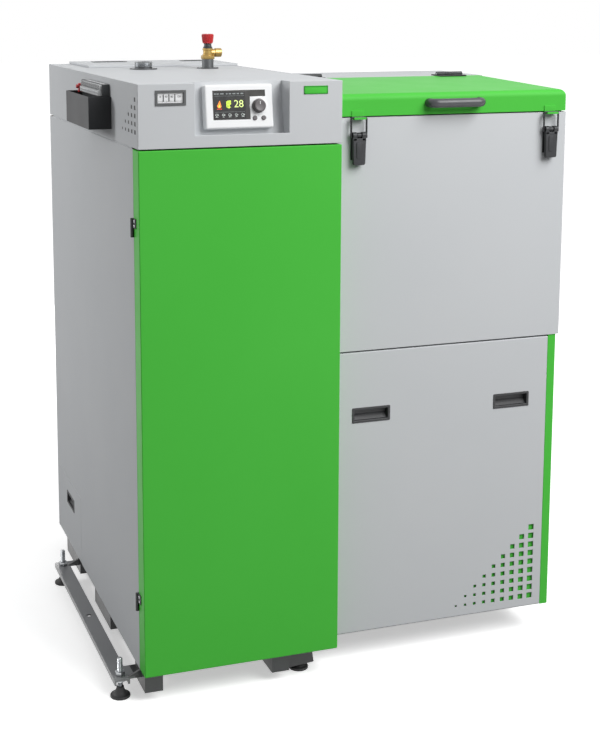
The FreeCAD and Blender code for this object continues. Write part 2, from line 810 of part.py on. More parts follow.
def hood_shell():
    """Hood over the boiler: two sides, back and top, with strips that reach into the casing."""
    y = (sheet, boiler_depth)
    top = (hood_top - sheet, hood_top)
    sides = [box((0, sheet), y, (hood_bottom, hood_top)),
             box((boiler_width - sheet, boiler_width), y, (hood_bottom, hood_top))]
    inside = (casing_front + ledge, boiler_depth - 2 * ledge)
    strips = [box((sheet, 2 * sheet), inside, (door_top - ledge, hood_bottom + ledge)),
              box((boiler_width - 2 * sheet, boiler_width - sheet), inside,
                  (door_top - ledge, hood_bottom + ledge))]
    back = box((0, boiler_width), (boiler_depth - sheet, boiler_depth), (hood_bottom, hood_top))
    hood = join(sides + strips + [back, box((0, boiler_width), y, top)])
    notch = box((niche_left - sheet, niche_right + sheet), (0, niche_depth_top + 2 * sheet), top)
    opening = box((cover_left + cover_land, boiler_width - cover_land),
                  (cover_front + cover_land, boiler_depth - cover_land), top)
    slot = [box((0, sheet), *block_limits()[1:])]
    pipes = [rod("Z", flow_at, flow_r + slip, *top), rod("Z", valve_at, nipple_r + slip, *top)]
    return hood.cut([notch, opening] + slot + pipes + side_vents())


def side_vents():
    """Stepped group of small holes near the front of the hood's left side."""
    holes = []
    for column in range(vent_rows):
        shrink = 1 - 0.1 * column
        for row in range(vent_rows - column):
            y = vent_front + vent_pitch_y * column
            z = hood_bottom + vent_low + vent_pitch_z * row
            half = (vent_size[0] * shrink / 2, vent_size[1] * shrink / 2)
            holes.append(box((0, sheet), (y - half[0], y + half[0]), (z - half[1], z + half[1])))
    return holes


def hood_fascia():
    """Front sheet of the hood with the niche for the controller, open at its top."""
    front = box((0, boiler_width), (0, sheet), (hood_bottom, hood_top))
    void = [(0, niche_z), (niche_depth_low, niche_z), (niche_depth_top, hood_top), (0, hood_top)]
    shell = [(0, niche_z - sheet), (niche_depth_low + sheet, niche_z - sheet),
             (niche_depth_top + sheet, hood_top), (0, hood_top)]
    liner = prism(shell, "X", niche_left - sheet, niche_right + sheet)
    fascia = join([front, liner])
    window = box((niche_left, niche_right), (0, sheet), (niche_z + niche_lip, hood_top))
    room = prism(void, "X", niche_left, niche_right).cut(
        box((niche_left, niche_right), (0, sheet), (hood_bottom, hood_top)))
    x, z = gauge_limits(-gauge_border)
    return fascia.cut([window, room, box(x, (0, sheet), z)])


def gauge_limits(by=0.0):
    """Thermometer's frame on the fascia."""
    low = hood_bottom + gauge_bottom
    return (gauge_left - by, gauge_left + gauge_width + by), (low - by, low + gauge_height + by)


def thermometer():
    """Panel thermometer: rim on the fascia, pocket for its face and the body behind."""
    x, z = gauge_limits()
    bx, bz = gauge_limits(-gauge_border)
    body = join([box(x, (-gauge_rim, 0), z), box(bx, (0, gauge_depth), bz)])
    px, pz = gauge_limits(-gauge_border - 1)
    return body.cut(box(px, (-gauge_rim, gauge_pocket), pz))


def in_niche(shape):
    """Place a piece made flat at the niche's foot: X across, -Y out of the back, Z up the slope."""
    placed = shape.copy()
    placed.rotate(V(0, 0, 0), V(1, 0, 0), -niche_tilt)
    placed.translate(V(niche_middle - bezel_width / 2, niche_depth_low, niche_z))
    return placed


def on_bezel(x, y):
    """Point on the bezel's face from its top left corner, as across and up in the niche."""
    return x, bezel_foot + bezel_height - y


def glass_outline(by=0.0):
    """Display glass: a wide pane with a strip along its top that runs on to the right."""
    left = glass_left - by
    points = [(left, glass_bottom + by), (glass_right + by, glass_bottom + by),
              (glass_right + by, glass_strip_bottom + by), (glass_strip_right + by, glass_strip_bottom + by),
              (glass_strip_right + by, glass_top - by), (left, glass_top - by)]
    return [on_bezel(*point) for point in points]


def controller_bezel():
    """Pale housing of the controller with its display pocket, shaft hole and button wells."""
    housing = box((0, bezel_width), (-bezel_thick, 0), (bezel_foot, bezel_foot + bezel_height))
    housing = soften(housing, bezel_thick / 5,
                     lambda at, way: at.y < -bezel_thick + 1 or abs(way.y) > 0.9)
    face = -bezel_thick
    cuts = [prism(glass_outline(), "Y", face, face + glass_thick),
            rod("Y", on_bezel(*knob_at), stem_r + running, face, face + button_depth)]
    for x in button_xs:
        cuts.append(rod("Y", on_bezel(x, button_y), button_r + slip, face, face + button_depth))
    return in_niche(housing.cut(cuts))


def controller_display():
    """Dark glass in the bezel's pocket."""
    return in_niche(prism(glass_outline(), "Y", -bezel_thick, -bezel_thick + glass_thick))


def encoder_knob():
    """Turning knob on its shaft."""
    at = on_bezel(*knob_at)
    face = -bezel_thick
    cap = rod("Y", at, knob_r, face - knob_height, face - slip)
    cap = soften(cap, knob_height / 6, lambda at, way: at.y < face - knob_height + 1)
    return in_niche(join([cap, rod("Y", at, stem_r, face - 1, face + button_depth)]))


def button(x):
    """Round push button in its well, with room to travel behind it."""
    at = on_bezel(x, button_y)
    face = -bezel_thick
    return in_niche(rod("Y", at, button_r, face - button_height, face + button_depth - button_travel - slip))


def cleaning_cover():
    """Loose pan over the rear of the hood with two slots for its grips."""
    x = (cover_left, boiler_width)
    y = (cover_front, boiler_depth)
    z = (hood_top, hood_top + cover_height)
    pan = box(x, y, z).cut(box((x[0] + sheet, x[1] - sheet), (y[0] + sheet, y[1] - sheet),
                               (z[0], z[1] - sheet)))
    return pan.cut([box(*grip_limits(at, slip), (z[1] - sheet, z[1])) for at in grip_xs])


def grip_limits(at, by=0.0):
    """Cup of a cover grip."""
    half = (grip_size[0] / 2 + by, grip_size[1] / 2 + by)
    return (at - half[0], at + half[0]), (grip_y - half[1], grip_y + half[1])


def cover_grips():
    """Two shallow finger cups in the cleaning cover."""
    top = hood_top + cover_height
    solids = []
    for at in grip_xs:
        rim = box(*grip_limits(at, grip_rim), (top, top + rim_thick))
        cup = box(*grip_limits(at), (top - grip_size[2], top))
        room = box(*grip_limits(at, -pull_wall), (top - grip_size[2] + pull_wall, top + rim_thick))
        solids.append(join([rim, cup]).cut(room))
    return group(solids)


def terminal_block():
    """Connector strip that stands in the hood's left wall, with a row of sockets along its top."""
    x, y, z = block_limits()
    block = box(x, y, z)
    count = 12
    pitch = (y[1] - y[0]) / count
    slots = []
    for i in range(count):
        low = y[0] + pitch * (i + 0.2)
        slots.append(box((x[0], x[0] + block_reach * 0.7), (low, low + pitch * 0.6),
                         (z[1] - block_reach, z[1])))
    return block.cut(slots)


def cable_tray():
    """Open-topped sheet trough on the hood's left side that shields the connectors."""
    x = (-cable_tray_reach, 0)
    y = (tray_front, tray_front + tray_length)
    z = (hood_bottom + cable_tray_low, hood_bottom + cable_tray_low + cable_tray_height)
    return box(x, y, z).cut(box((x[0] + sheet, 0), (y[0] + sheet, y[1] - sheet), (z[0] + sheet, z[1])))


def valve_levels():
    """Heights of the safety valve's foot, body top, bonnet top and cap top."""
    foot = hood_top + nipple_rise
    body = foot + valve_body_height
    bonnet = body + bonnet_height
    return foot, body, bonnet, bonnet + cap_height


def safety_valve_body():
    """Brass angle body with its outlet to the right, the bonnet above it and the cap's stem."""
    foot, top, bonnet, cap = valve_levels()
    x, y = valve_at
    middle = (foot + top) / 2
    base = hexagon(valve_at, valve_hex, foot, foot + valve_hex_height)
    body = rod("Z", valve_at, valve_body_r, foot, top)
    outlet = rod("X", (y, middle), valve_outlet_r, x, x + valve_outlet_reach)
    valve = join([base, body, outlet])
    valve = valve.cut([rod("X", (y, middle), valve_outlet_bore_r, x, x + valve_outlet_reach),
                       rod("Z", valve_at, nipple_bore_r, foot, middle + nipple_bore_r)])
    return join([valve, rod("Z", valve_at, bonnet_r, top, bonnet),
                 rod("Z", valve_at, stem_r, bonnet, cap - cap_height / 2)])


def safety_valve_cap():
    """Ribbed cap that turns on the valve's stem."""
    bonnet, top = valve_levels()[2:]
    cap = rod("Z", valve_at, cap_r, bonnet, top)
    cuts = [rod("Z", valve_at, stem_r + running, bonnet, top - cap_height / 2 + slip)]
    for i in range(cap_ribs):
        turn = 2 * math.pi * i / cap_ribs
        at = (valve_at[0] + cap_r * math.cos(turn), valve_at[1] + cap_r * math.sin(turn))
        cuts.append(rod("Z", at, cap_r / 8, bonnet, top))
    return cap.cut(cuts)


def front_door():
    """Hollow sheet door in front of the boiler with a rounded outer edge."""
    x = (0, boiler_width)
    y = (0, door_thick)
    z = (floor_gap, door_top)
    skin = soften(box(x, y, z), sheet, lambda at, way: at.y < 1 or abs(way.y) > 0.9)
    return skin.cut(grown(x, y, z, -sheet))


def door_hinge_leaves():
    """Door halves of the two hinges: a leaf on the door's left edge and its knuckle."""
    hole_r = hinge_pin_r + running
    return group([hinge_half_at(z, slip / 3, hinge_half, -hinge_leaf, hole_r) for z in hinge_zs])


def hinge_half_at(z, low, high, reach, hole_r):
    """One half of a door hinge: knuckle and leaf between two heights about its middle."""
    x, y = hinge_axis
    ends = sorted((y, y + reach))
    leaf = box((-sheet, 0), ends, (z + low, z + high))
    half = join([rod("Z", hinge_axis, knuckle_r, z + low, z + high), leaf])
    return half.cut(rod("Z", hinge_axis, hole_r, z + low, z + high))


def lid_hinge_xs():
    """Middles of the two lid hinges."""
    return [hopper_middle - lid_hinge_spacing / 2, hopper_middle + lid_hinge_spacing / 2]


def fixed_hinge_leaves():
    """Fixed halves of the door hinges on the casing and of the lid hinges on the hopper's deck."""
    solids = [hinge_half_at(z, -hinge_half, 0, hinge_leaf, hinge_pin_r) for z in hinge_zs]
    at = (lid_axis_y, lid_axis_z)
    for x in lid_hinge_xs():
        span = (x - lid_knuckle_half, x + lid_knuckle_half)
        leaf_z = (lid_top, lid_top + lid_leaf_thick)
        leaf_end = deck_front + lid_leaf
        leaf = box(span, (lid_axis_y, leaf_end), leaf_z)
        leaf_y = (lid_axis_y + 2 * lid_knuckle_r, leaf_end)
        wide = box((x - lid_hinge_half, x + lid_hinge_half), leaf_y, leaf_z)
        half = join([rod("X", at, lid_knuckle_r, *span), leaf, wide])
        clear = box(span, (lid_axis_y - lid_knuckle_r, deck_front), (lid_top - 1, lid_top + slip))
        solids.append(half.cut([rod("X", at, lid_pin_r, *span), clear]))
    return group(solids)


def lid_hinge_leaves():
    """Lid halves of the lid hinges: a leaf on the lid and two knuckles outside the fixed one."""
    at = (lid_axis_y, lid_axis_z)
    solids = []
    for x in lid_hinge_xs():
        whole = (x - lid_hinge_half, x + lid_hinge_half)
        gap = (x - lid_knuckle_half - slip, x + lid_knuckle_half + slip)
        leaf = box(whole, (lid_back - lid_leaf, lid_axis_y), (lid_top, lid_top + lid_leaf_thick))
        half = join([rod("X", at, lid_knuckle_r, *whole), leaf])
        room = box(gap, (lid_axis_y - 2 * lid_knuckle_r, lid_axis_y + lid_knuckle_r),
                   (lid_top, lid_axis_z + lid_knuckle_r))
        solids.append(half.cut([room, rod("X", at, lid_pin_r + running, *whole)]))
    return group(solids)


def hinge_pins():
    """Pins of the door hinges, the lid hinges and the latch levers."""
    solids = [rod("Z", hinge_axis, hinge_pin_r, z - hinge_half, z + hinge_half) for z in hinge_zs]
    for x in lid_hinge_xs():
        solids.append(rod("X", (lid_axis_y, lid_axis_z), lid_pin_r, x - lid_hinge_half, x + lid_hinge_half))
    for x in latch_xs:
        half = latch_width / 2 - 1
        solids.append(rod("X", (latch_y, latch_pivot_z), latch_pin_r, x - half, x + half))
    return group(solids)


def hopper_cabinet():
    """Left wall, floor and back of the feeder compartment, with the stand under the gearbox."""
    y = (hopper_front + flange_setback, hopper_back)
    z = (cabinet_bottom, cabinet_top)
    left = (hopper_left, hopper_left + sheet)
    right = hopper_low_right - sheet
    walls = [box(left, y, z), box((hopper_left, right), y, (cabinet_bottom, cabinet_floor)),
             box((hopper_left, right), (hopper_back - sheet, hopper_back), z)]
    box_x, box_y, box_z = gearbox_size
    stand_x = (gearbox_x + ledge, gearbox_x + box_x - ledge)
    stand_y = (feed_y - box_y / 2 + ledge, feed_y + box_y / 2 - ledge)
    stand_z = (cabinet_floor, feed_z - box_z / 2)
    stand = box(stand_x, stand_y, stand_z).cut(
        box(stand_x, (stand_y[0] + leg_steel, stand_y[1] - leg_steel), (stand_z[0], stand_z[1] - leg_steel)))
    holes = [rod("X", (feed_y, feed_z), tube_r + slip, *left),
             rod("X", (fan_y, duct_z), duct_r + slip, *left)]
    holes += [rod("Z", (hopper_foot_x, at), stud_r + slip, cabinet_bottom, cabinet_floor)
              for at in hopper_foot_ys]
    return join(walls + [stand]).cut(holes)


def hopper_side_panel():
    """Right side sheet of the lower hopper with a flange that shows at the front."""
    x = (hopper_low_right - sheet, hopper_low_right)
    y = (hopper_front + flange_setback, hopper_back)
    z = (cabinet_bottom, cabinet_top)
    return join([box(x, y, z), box((x[1] - side_flange, x[1]), (y[0] - sheet, y[0]), z)])


def square_holes():
    """Stepped group of square vent holes that grow towards the right of the access panel."""
    holes = []
    for column in range(square_columns):
        share = column / (square_columns - 1)
        half = (square_size[0] + (square_size[1] - square_size[0]) * share) / 2
        x = panel_right - square_right_inset - square_pitch_x * (square_columns - 1 - column)
        for row in range(column + 1):
            z = cabinet_floor + square_low + square_pitch_z * row
            skin = (hopper_front, hopper_front + sheet)
            holes.append(box((x - half, x + half), skin, (z - half, z + half)))
    return holes


def front_pull_xs():
    """Middles of the two pulls of the access panel."""
    half = pull_size[0] / 2
    return [panel_left + front_pull_inset + half, panel_right - front_pull_inset - half]


def on_hopper_front(shape):
    """Move a shape made on a panel at y = 0 to the hopper's front."""
    moved = shape.copy()
    moved.translate(V(0, hopper_front, 0))
    return moved


def access_panel():
    """Lift-off front pan of the lower hopper with its vent holes and the holes for its pulls."""
    x = (panel_left, panel_right)
    y = (hopper_front, hopper_front + panel_depth)
    z = (cabinet_floor, panel_top)
    pan = soften(box(x, y, z), sheet, lambda at, way: at.y < y[0] + 1)
    inner = ((x[0] + sheet, x[1] - sheet), (y[0] + sheet, y[1]), (z[0] + sheet, z[1] - sheet))
    pulls = [on_hopper_front(pull_hole(at, front_pull_z, sheet)) for at in front_pull_xs()]
    return pan.cut([box(*inner)] + pulls + square_holes())


def panel_pulls():
    """Flush pulls of the access panel."""
    return group([on_hopper_front(flush_pull(at, front_pull_z)) for at in front_pull_xs()])


def hopper_casing():
    """Upper hopper box: four walls, lower ring, top rim round the filling opening and the rear deck."""
    x = (hopper_left, hopper_right)
    y = (hopper_front, hopper_back)
    z = (cabinet_top, casing_rim_z)
    deck = (casing_rim_z, lid_top)
    inner = ((x[0] + sheet, x[1] - sheet), (y[0] + sheet, y[1] - sheet))
    tub = box(x, y, z).cut(box(*inner, (z[0] + sheet, z[1] - sheet)))
    ring = box((x[0] + ring_border, x[1] - ring_border), (y[0] + ring_border, y[1] - ring_border),
               (z[0], z[0] + sheet))
    mouth = box((bin_left, bin_right), (bin_front, bin_back), (z[1] - sheet, z[1]))
    hood = box(x, (deck_front, y[1]), deck)
    hood = hood.cut(box(inner[0], (deck_front + sheet, y[1] - sheet), (deck[0], deck[1] - sheet)))
    casing = join([tub.cut([ring, mouth]), hood])
    return soften(casing, sheet, lambda at, way: at.y < y[0] + 1 and (at.x < x[0] + 1 or at.x > x[1] - 1)
                  and abs(way.z) > 0.9)


def bin_sections(by):
    """Corners of the bin's top and outlet, grown by its wall."""
    top = ((bin_left - by, bin_right + by), (bin_front - by, bin_back + by))
    outlet = ((inlet_left - by, inlet_right + by), (feed_y - tube_bore - by, feed_y + tube_bore + by))
    return top, outlet


def bin_rings(by):
    """Corners of the bin at its rim, at the foot of its straight part and at its outlet."""
    top, outlet = bin_sections(by)
    levels = ((top, casing_rim_z - sheet), (top, bin_straight), (outlet, outlet_z))
    return [[V(x[0], y[0], z), V(x[1], y[0], z), V(x[1], y[1], z), V(x[0], y[1], z)] for (x, y), z in levels]


def wall_plate(inner, outer):
    """Plate between four inner and four outer corners, both in order round the plate."""
    rings = [inner, outer] + [[inner[i], inner[i - 1], outer[i - 1], outer[i]] for i in range(4)]
    shell = Part.Shell([Part.Face(Part.makePolygon(ring + ring[:1])) for ring in rings])
    shell.sewShape()
    plate = Part.Solid(shell)
    if plate.Volume < 0:
        plate.reverse()
    return plate


def hopper_bin():
    """Steel fuel bin of eight mitred plates from the hopper's rim down to the feeder."""
    inner, outer = bin_rings(0), bin_rings(bin_wall)
    plates = []
    for level in (0, 1):
        for side in range(4):
            corners = [[rings[level][side], rings[level][side - 1], rings[level + 1][side - 1],
                        rings[level + 1][side]] for rings in (inner, outer)]
            plates.append(wall_plate(*corners))
    return group(plates)


def lid_limits():
    """Outer limits of the hopper's lid."""
    return ((hopper_left + panel_gap / 2, hopper_right - panel_gap / 2), (lid_front, lid_back),
            (lid_bottom, lid_top))


def lid_shell():
    """Pressed lid with rounded front and side edges and a flange turned in at its foot."""
    x, y, z = lid_limits()
    brow = z[1] - lid_fall
    outer = prism([(y[0], z[0]), (y[1], z[0]), (y[1], z[1]), (y[0], brow)], "X", *x)
    corner = soften(outer, lid_corner_r, lambda at, way: at.y < y[0] + 1 and abs(way.z) > 0.9)
    outer = soften(corner, lid_edge_r,
                   lambda at, way: at.z > brow - 1 and at.y < y[1] - 1 and abs(way.z) < 0.1)
    room = ((x[0] + sheet, x[1] - sheet), (y[0] + sheet, y[1] - sheet))
    hollow = box(*room, (z[0] + sheet, brow - lid_edge_r))
    front, back = y[0] + lid_edge_r, y[1] - sheet
    under = brow - sheet + lid_fall * lid_edge_r / (y[1] - y[0])
    low = brow - lid_edge_r - sheet
    upper = prism([(front, low), (back, low), (back, z[1] - 2 * sheet), (front, under)], "X",
                  x[0] + lid_edge_r, x[1] - lid_edge_r)
    mouth = box((x[0] + lid_flange, x[1] - lid_flange), (y[0] + lid_flange, y[1] - lid_flange),
                (z[0], z[0] + sheet))
    return outer.cut([hollow, upper, mouth])


def lid_seal():
    """Rubber frame under the lid's flange."""
    x, y, _ = lid_limits()
    outer = ((x[0] + seal_inset, x[1] - seal_inset), (y[0] + seal_inset, y[1] - seal_inset))
    z = (casing_rim_z, lid_bottom)
    inner = [(low + seal_width, high - seal_width) for low, high in outer]
    return box(*outer, z).cut(box(*inner, z))


def lid_handle():
    """Bow handle on the lid's front."""
    x = (hopper_middle - handle_length / 2, hopper_middle + handle_length / 2)
    y = (lid_front - handle_reach, lid_front)
    z = (lid_bottom + handle_low, lid_bottom + handle_low + handle_height)
    bar = soften(box(x, y, z), handle_round, lambda at, way: at.y < y[0] + 1)
    return bar.cut(box((x[0] + handle_end, x[1] - handle_end), (y[0] + handle_bar, y[1]), z))


def latch_bases():
    """Plates on the hopper's front, each with the ear that carries its lever."""
    solids = []
    for x in latch_xs:
        half = latch_width / 2
        back = (hopper_front - latch_plate, hopper_front)
        foot = box((x - half, x + half), back,
                   (latch_pivot_z - latch_length + latch_ear, latch_pivot_z + latch_ear_r))
        ear_x = (x - latch_ear / 2, x + latch_ear / 2)
        ear = box(ear_x, (latch_y, back[0]), (latch_pivot_z - latch_ear_r, latch_pivot_z + latch_ear_r))
        ear = ear.fuse(rod("X", (latch_y, latch_pivot_z), latch_ear_r, *ear_x))
        solids.append(join([foot, ear]).cut(rod("X", (latch_y, latch_pivot_z), latch_pin_r, *ear_x)))
    return group(solids)


def latch_lever(x):
    """Folded-down lever with a slot for the ear and a hole in each cheek for the bail."""
    span = (x - latch_width / 2, x + latch_width / 2)
    pivot = (latch_y, latch_pivot_z)
    low = latch_pivot_z - latch_length
    bar = box(span, (latch_y - latch_front, latch_y + latch_back), (low, latch_pivot_z))
    bar = soften(bar, latch_back, lambda at, way: at.z < low + 1 and abs(way.y) > 0.9)
    lever = join([bar, rod("X", pivot, latch_front, *span)])
    slot = box((x - latch_ear / 2 - slip, x + latch_ear / 2 + slip),
               (latch_y - 2 * latch_front, latch_y + 2 * latch_front),
               (latch_pivot_z - latch_ear_r - 2 * slip, latch_pivot_z + 2 * latch_front))
    cuts = [slot, rod("X", pivot, latch_pin_r + running, *span)]
    for side in (-1, 1):
        ends = sorted((x + side * latch_width / 2, x + side * (latch_width / 2 - trunnion_depth)))
        cuts.append(rod("X", (latch_y, latch_pivot_z - latch_crank), bail_r + running, *ends))
    return lever.cut(cuts)


def latch_bail(x):
    """Wire loop that stands on the lever's cheeks and hooks over the keeper."""
    leg_x = latch_width / 2 + bail_r + 2 * slip
    low = latch_pivot_z - latch_crank
    pieces = [rod("X", (latch_y, bail_z), bail_r, x - leg_x, x + leg_x)]
    for side in (-1, 1):
        at = x + side * leg_x
        pieces.append(rod("Z", (at, latch_y), bail_r, low, bail_z))
        pieces.append(Part.makeSphere(bail_r, V(at, latch_y, low)))
        pieces.append(Part.makeSphere(bail_r, V(at, latch_y, bail_z)))
        ends = sorted((at, x + side * (latch_width / 2 - trunnion_depth + slip)))
        pieces.append(rod("X", (latch_y, low), bail_r, *ends))
    return join(pieces)


def latch_keepers():
    """Hooks on the lid's front: a plate with a floor under the bail and a lip in front of it."""
    solids = []
    floor = bail_z - bail_r - hook_floor_gap
    lip_back = latch_y - bail_r - hook_gap
    for x in latch_xs:
        span = (x - keeper_width / 2, x + keeper_width / 2)
        plate_z = (floor - keeper_steel, floor + keeper_height)
        pieces = [box(span, (lid_front - keeper_steel, lid_front), plate_z),
                  box(span, (lip_back - keeper_steel, lid_front), (plate_z[0], floor)),
                  box(span, (lip_back - keeper_steel, lip_back), (plate_z[0], plate_z[0] + keeper_lip))]
        solids.append(join(pieces))
    return group(solids)


def feeder_tube():
    """Feed pipe from the gearbox to the burner with a square inlet under the bin."""
    at = (feed_y, feed_z)
    tube = rod("X", at, tube_r, tube_start, gearbox_x)
    flange = rod("X", at, flange_r, gearbox_x - flange_thick, gearbox_x)
    x, y = bin_sections(bin_wall)[1]
    chute = box(x, y, (feed_z, outlet_z))
    ix, iy = bin_sections(0)[1]
    return join([tube, flange, chute]).cut([box(ix, iy, (feed_z, outlet_z)),
                                            rod("X", at, tube_bore, tube_start, gearbox_x)])


def feed_auger():
    """Screw with its flight wound on a shaft that reaches into the gearbox."""
    start = burner_x + shaft_r
    end = gearbox_x - 3 * flange_thick
    shaft = rod("X", (feed_y, feed_z), shaft_r, start, gearbox_x + gearbox_size[0] - 2 * flange_thick)
    helix = Part.makeHelix(flight_pitch, end - start - flight_pitch, flight_r)
    inner = shaft_r - 1
    half = flight_thick / 2
    corners = [V(inner, 0, -half), V(flight_r, 0, -half), V(flight_r, 0, half), V(inner, 0, half)]
    outline = Part.makePolygon(corners + corners[:1])
    flight = Part.Wire(helix).makePipeShell([outline], True, True)
    flight.rotate(V(0, 0, 0), V(0, 1, 0), 90)
    flight.translate(V(start + flight_pitch / 2, feed_y, feed_z))
    return shaft.fuse(flight)


def gear_motor():
    """Gearbox on the end of the feed pipe with its motor towards the back."""
    box_x, box_y, box_z = gearbox_size
    x = (gearbox_x, gearbox_x + box_x)
    case = box(x, (feed_y - box_y / 2, feed_y + box_y / 2), (feed_z - box_z / 2, feed_z + box_z / 2))
    case = soften(case, tube_wall, lambda at, way: abs(way.x) > 0.9)
    at = ((x[0] + x[1]) / 2, feed_z)
    low = feed_y + box_y / 2
    motor = rod("Y", at, feed_motor_r, low, low + feed_motor_length)
    bore = rod("X", (feed_y, feed_z), shaft_r + running, gearbox_x, x[1] - flange_thick)
    return join([case, motor]).cut(bore)


def fan_blower():
    """Round fan housing with its duct to the burner and its motor at the right."""
    at = (fan_y, fan_z)
    x = (fan_x, fan_x + fan_width)
    drum = rod("X", at, fan_r, *x)
    duct = rod("X", (fan_y, duct_z), duct_r, gas_right - tube_wall, fan_x + sheet)
    motor = rod("X", at, fan_motor_r, x[1], x[1] + fan_motor_length)
    blower = join([drum, duct, motor])
    return blower.cut([rod("X", at, fan_r - sheet, x[0] + sheet, x[1] - sheet),
                       rod("X", (fan_y, duct_z), duct_r - sheet, gas_right - tube_wall, x[0] + sheet),
                       rod("X", at, fan_shaft_r + running, x[1] - sheet, x[1] + fan_motor_length / 2)])


def fan_impeller():
    """Back plate with straight blades on the fan motor's shaft."""
    at = (fan_y, fan_z)
    back = fan_x + fan_width - 2 * sheet
    front = fan_x + 4 * sheet
    pieces = [rod("X", at, impeller_r, back - sheet, back), rod("X", at, fan_shaft_r * 3, front, back),
              rod("X", at, fan_shaft_r, front, fan_x + fan_width + fan_motor_length / 2 - sheet)]
    for i in range(blade_count):
        blade = box((front, back), (fan_y + impeller_r * 0.6, fan_y + impeller_r), (fan_z - 1, fan_z + 1))
        blade.rotate(V(0, fan_y, fan_z), V(1, 0, 0), 360.0 * i / blade_count)
        pieces.append(blade)
    return join(pieces)


def parts():
    """Every node's name and shape in layout coordinates."""
    return {
        "base_frame": base_frame(),
        "levelling_feet": levelling_feet(),
        "water_vessel": water_vessel(),
        "retort_burner": retort_burner(),
        "flame_deflector": flame_deflector(),
        "ash_drawer": ash_drawer(),
        "cleaning_door": inner_door(clean_opening),
        "fire_door": inner_door(fire_opening),
        "ash_door": inner_door(ash_opening),
        "inner_door_fittings": inner_door_fittings(),
        "turbulators": turbulators(),
        "exchanger_hatch": exchanger_hatch(),
        "insulation_jacket": insulation_jacket(),
        "flue_spigot": flue_spigot(),
        "water_stubs": water_stubs(),
        "left_side_panel": left_side_panel(),
        "right_side_panel": right_side_panel(),
        "rear_panel": rear_panel(),
        "front_frame": front_frame(),
        "side_service_cover": side_service_cover(),
        "side_cover_pull": side_cover_pull(),
        "hood_shell": hood_shell(),
        "hood_fascia": hood_fascia(),
        "thermometer": thermometer(),
        "controller_bezel": controller_bezel(),
        "controller_display": controller_display(),
        "encoder_knob": encoder_knob(),
        "button_left": button(button_xs[0]),
        "button_right": button(button_xs[1]),
        "cleaning_cover": cleaning_cover(),
        "cover_grips": cover_grips(),
        "terminal_block": terminal_block(),
        "cable_tray": cable_tray(),
        "safety_valve_body": safety_valve_body(),
        "safety_valve_cap": safety_valve_cap(),
        "front_door": front_door(),
        "door_hinge_leaves": door_hinge_leaves(),
        "fixed_hinge_leaves": fixed_hinge_leaves(),
        "lid_hinge_leaves": lid_hinge_leaves(),
        "hinge_pins": hinge_pins(),
        "hopper_cabinet": hopper_cabinet(),
        "hopper_side_panel": hopper_side_panel(),
        "access_panel": access_panel(),
        "panel_pulls": panel_pulls(),
        "hopper_casing": hopper_casing(),
        "hopper_bin": hopper_bin(),
        "lid_shell": lid_shell(),
        "lid_seal": lid_seal(),
        "lid_handle": lid_handle(),
        "latch_bases": latch_bases(),
        "latch_keepers": latch_keepers(),
        "lever_left": latch_lever(latch_xs[0]),
        "lever_right": latch_lever(latch_xs[1]),
        "bail_left": latch_bail(latch_xs[0]),
        "bail_right": latch_bail(latch_xs[1]),
        "feeder_tube": feeder_tube(),
        "feed_auger": feed_auger(),
        "gear_motor": gear_motor(),
        "fan_blower": fan_blower(),
        "fan_impeller": fan_impeller(),
    }


os.makedirs("parts", exist_ok=True)
for name, shape in parts().items():
    shape.translate(origin * -1)
    if not shape.isValid():
        print("not valid:", name)
    print(name, len(shape.Solids), round(shape.Volume))
    shape.exportStep("parts/" + name + ".step")
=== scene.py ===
"""Coal boiler with a side hopper: finishes, fine pieces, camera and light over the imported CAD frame."""
import json
import logging
import math
from dataclasses import dataclass
from enum import Enum
from typing import Iterable, Optional, Sequence

import bmesh
import bpy
from mathutils import Matrix, Vector


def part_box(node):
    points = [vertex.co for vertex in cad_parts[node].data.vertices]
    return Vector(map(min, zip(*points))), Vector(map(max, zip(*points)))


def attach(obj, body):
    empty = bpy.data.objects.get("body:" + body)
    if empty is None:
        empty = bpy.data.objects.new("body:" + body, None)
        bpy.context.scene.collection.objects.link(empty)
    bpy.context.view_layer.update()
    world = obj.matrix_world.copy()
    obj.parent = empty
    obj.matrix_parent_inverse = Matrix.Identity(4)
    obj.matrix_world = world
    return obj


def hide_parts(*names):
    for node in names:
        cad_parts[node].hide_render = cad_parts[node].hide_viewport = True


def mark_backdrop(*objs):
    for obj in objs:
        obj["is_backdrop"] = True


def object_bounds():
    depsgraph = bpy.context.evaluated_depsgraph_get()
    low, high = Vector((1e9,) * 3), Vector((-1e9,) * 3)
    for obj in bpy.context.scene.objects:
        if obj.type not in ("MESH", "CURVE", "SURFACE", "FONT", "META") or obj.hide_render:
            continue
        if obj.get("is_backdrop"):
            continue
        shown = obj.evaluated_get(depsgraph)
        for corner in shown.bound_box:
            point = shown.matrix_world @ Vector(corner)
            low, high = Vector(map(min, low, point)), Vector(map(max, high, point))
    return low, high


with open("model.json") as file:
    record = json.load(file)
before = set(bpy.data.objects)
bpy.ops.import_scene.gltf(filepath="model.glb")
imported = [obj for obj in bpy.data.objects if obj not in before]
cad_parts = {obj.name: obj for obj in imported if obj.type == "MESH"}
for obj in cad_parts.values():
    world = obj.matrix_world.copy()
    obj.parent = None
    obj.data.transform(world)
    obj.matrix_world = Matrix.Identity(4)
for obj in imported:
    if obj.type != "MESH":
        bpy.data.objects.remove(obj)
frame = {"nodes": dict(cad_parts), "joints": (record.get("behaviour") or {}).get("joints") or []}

Shape = bmesh.types.BMesh
Faces = list[bmesh.types.BMFace]
Tree = bpy.types.NodeTree
Socket = bpy.types.NodeSocket
Pair = tuple[float, float]
Pairs = Sequence[Pair]
Triple = tuple[float, float, float]

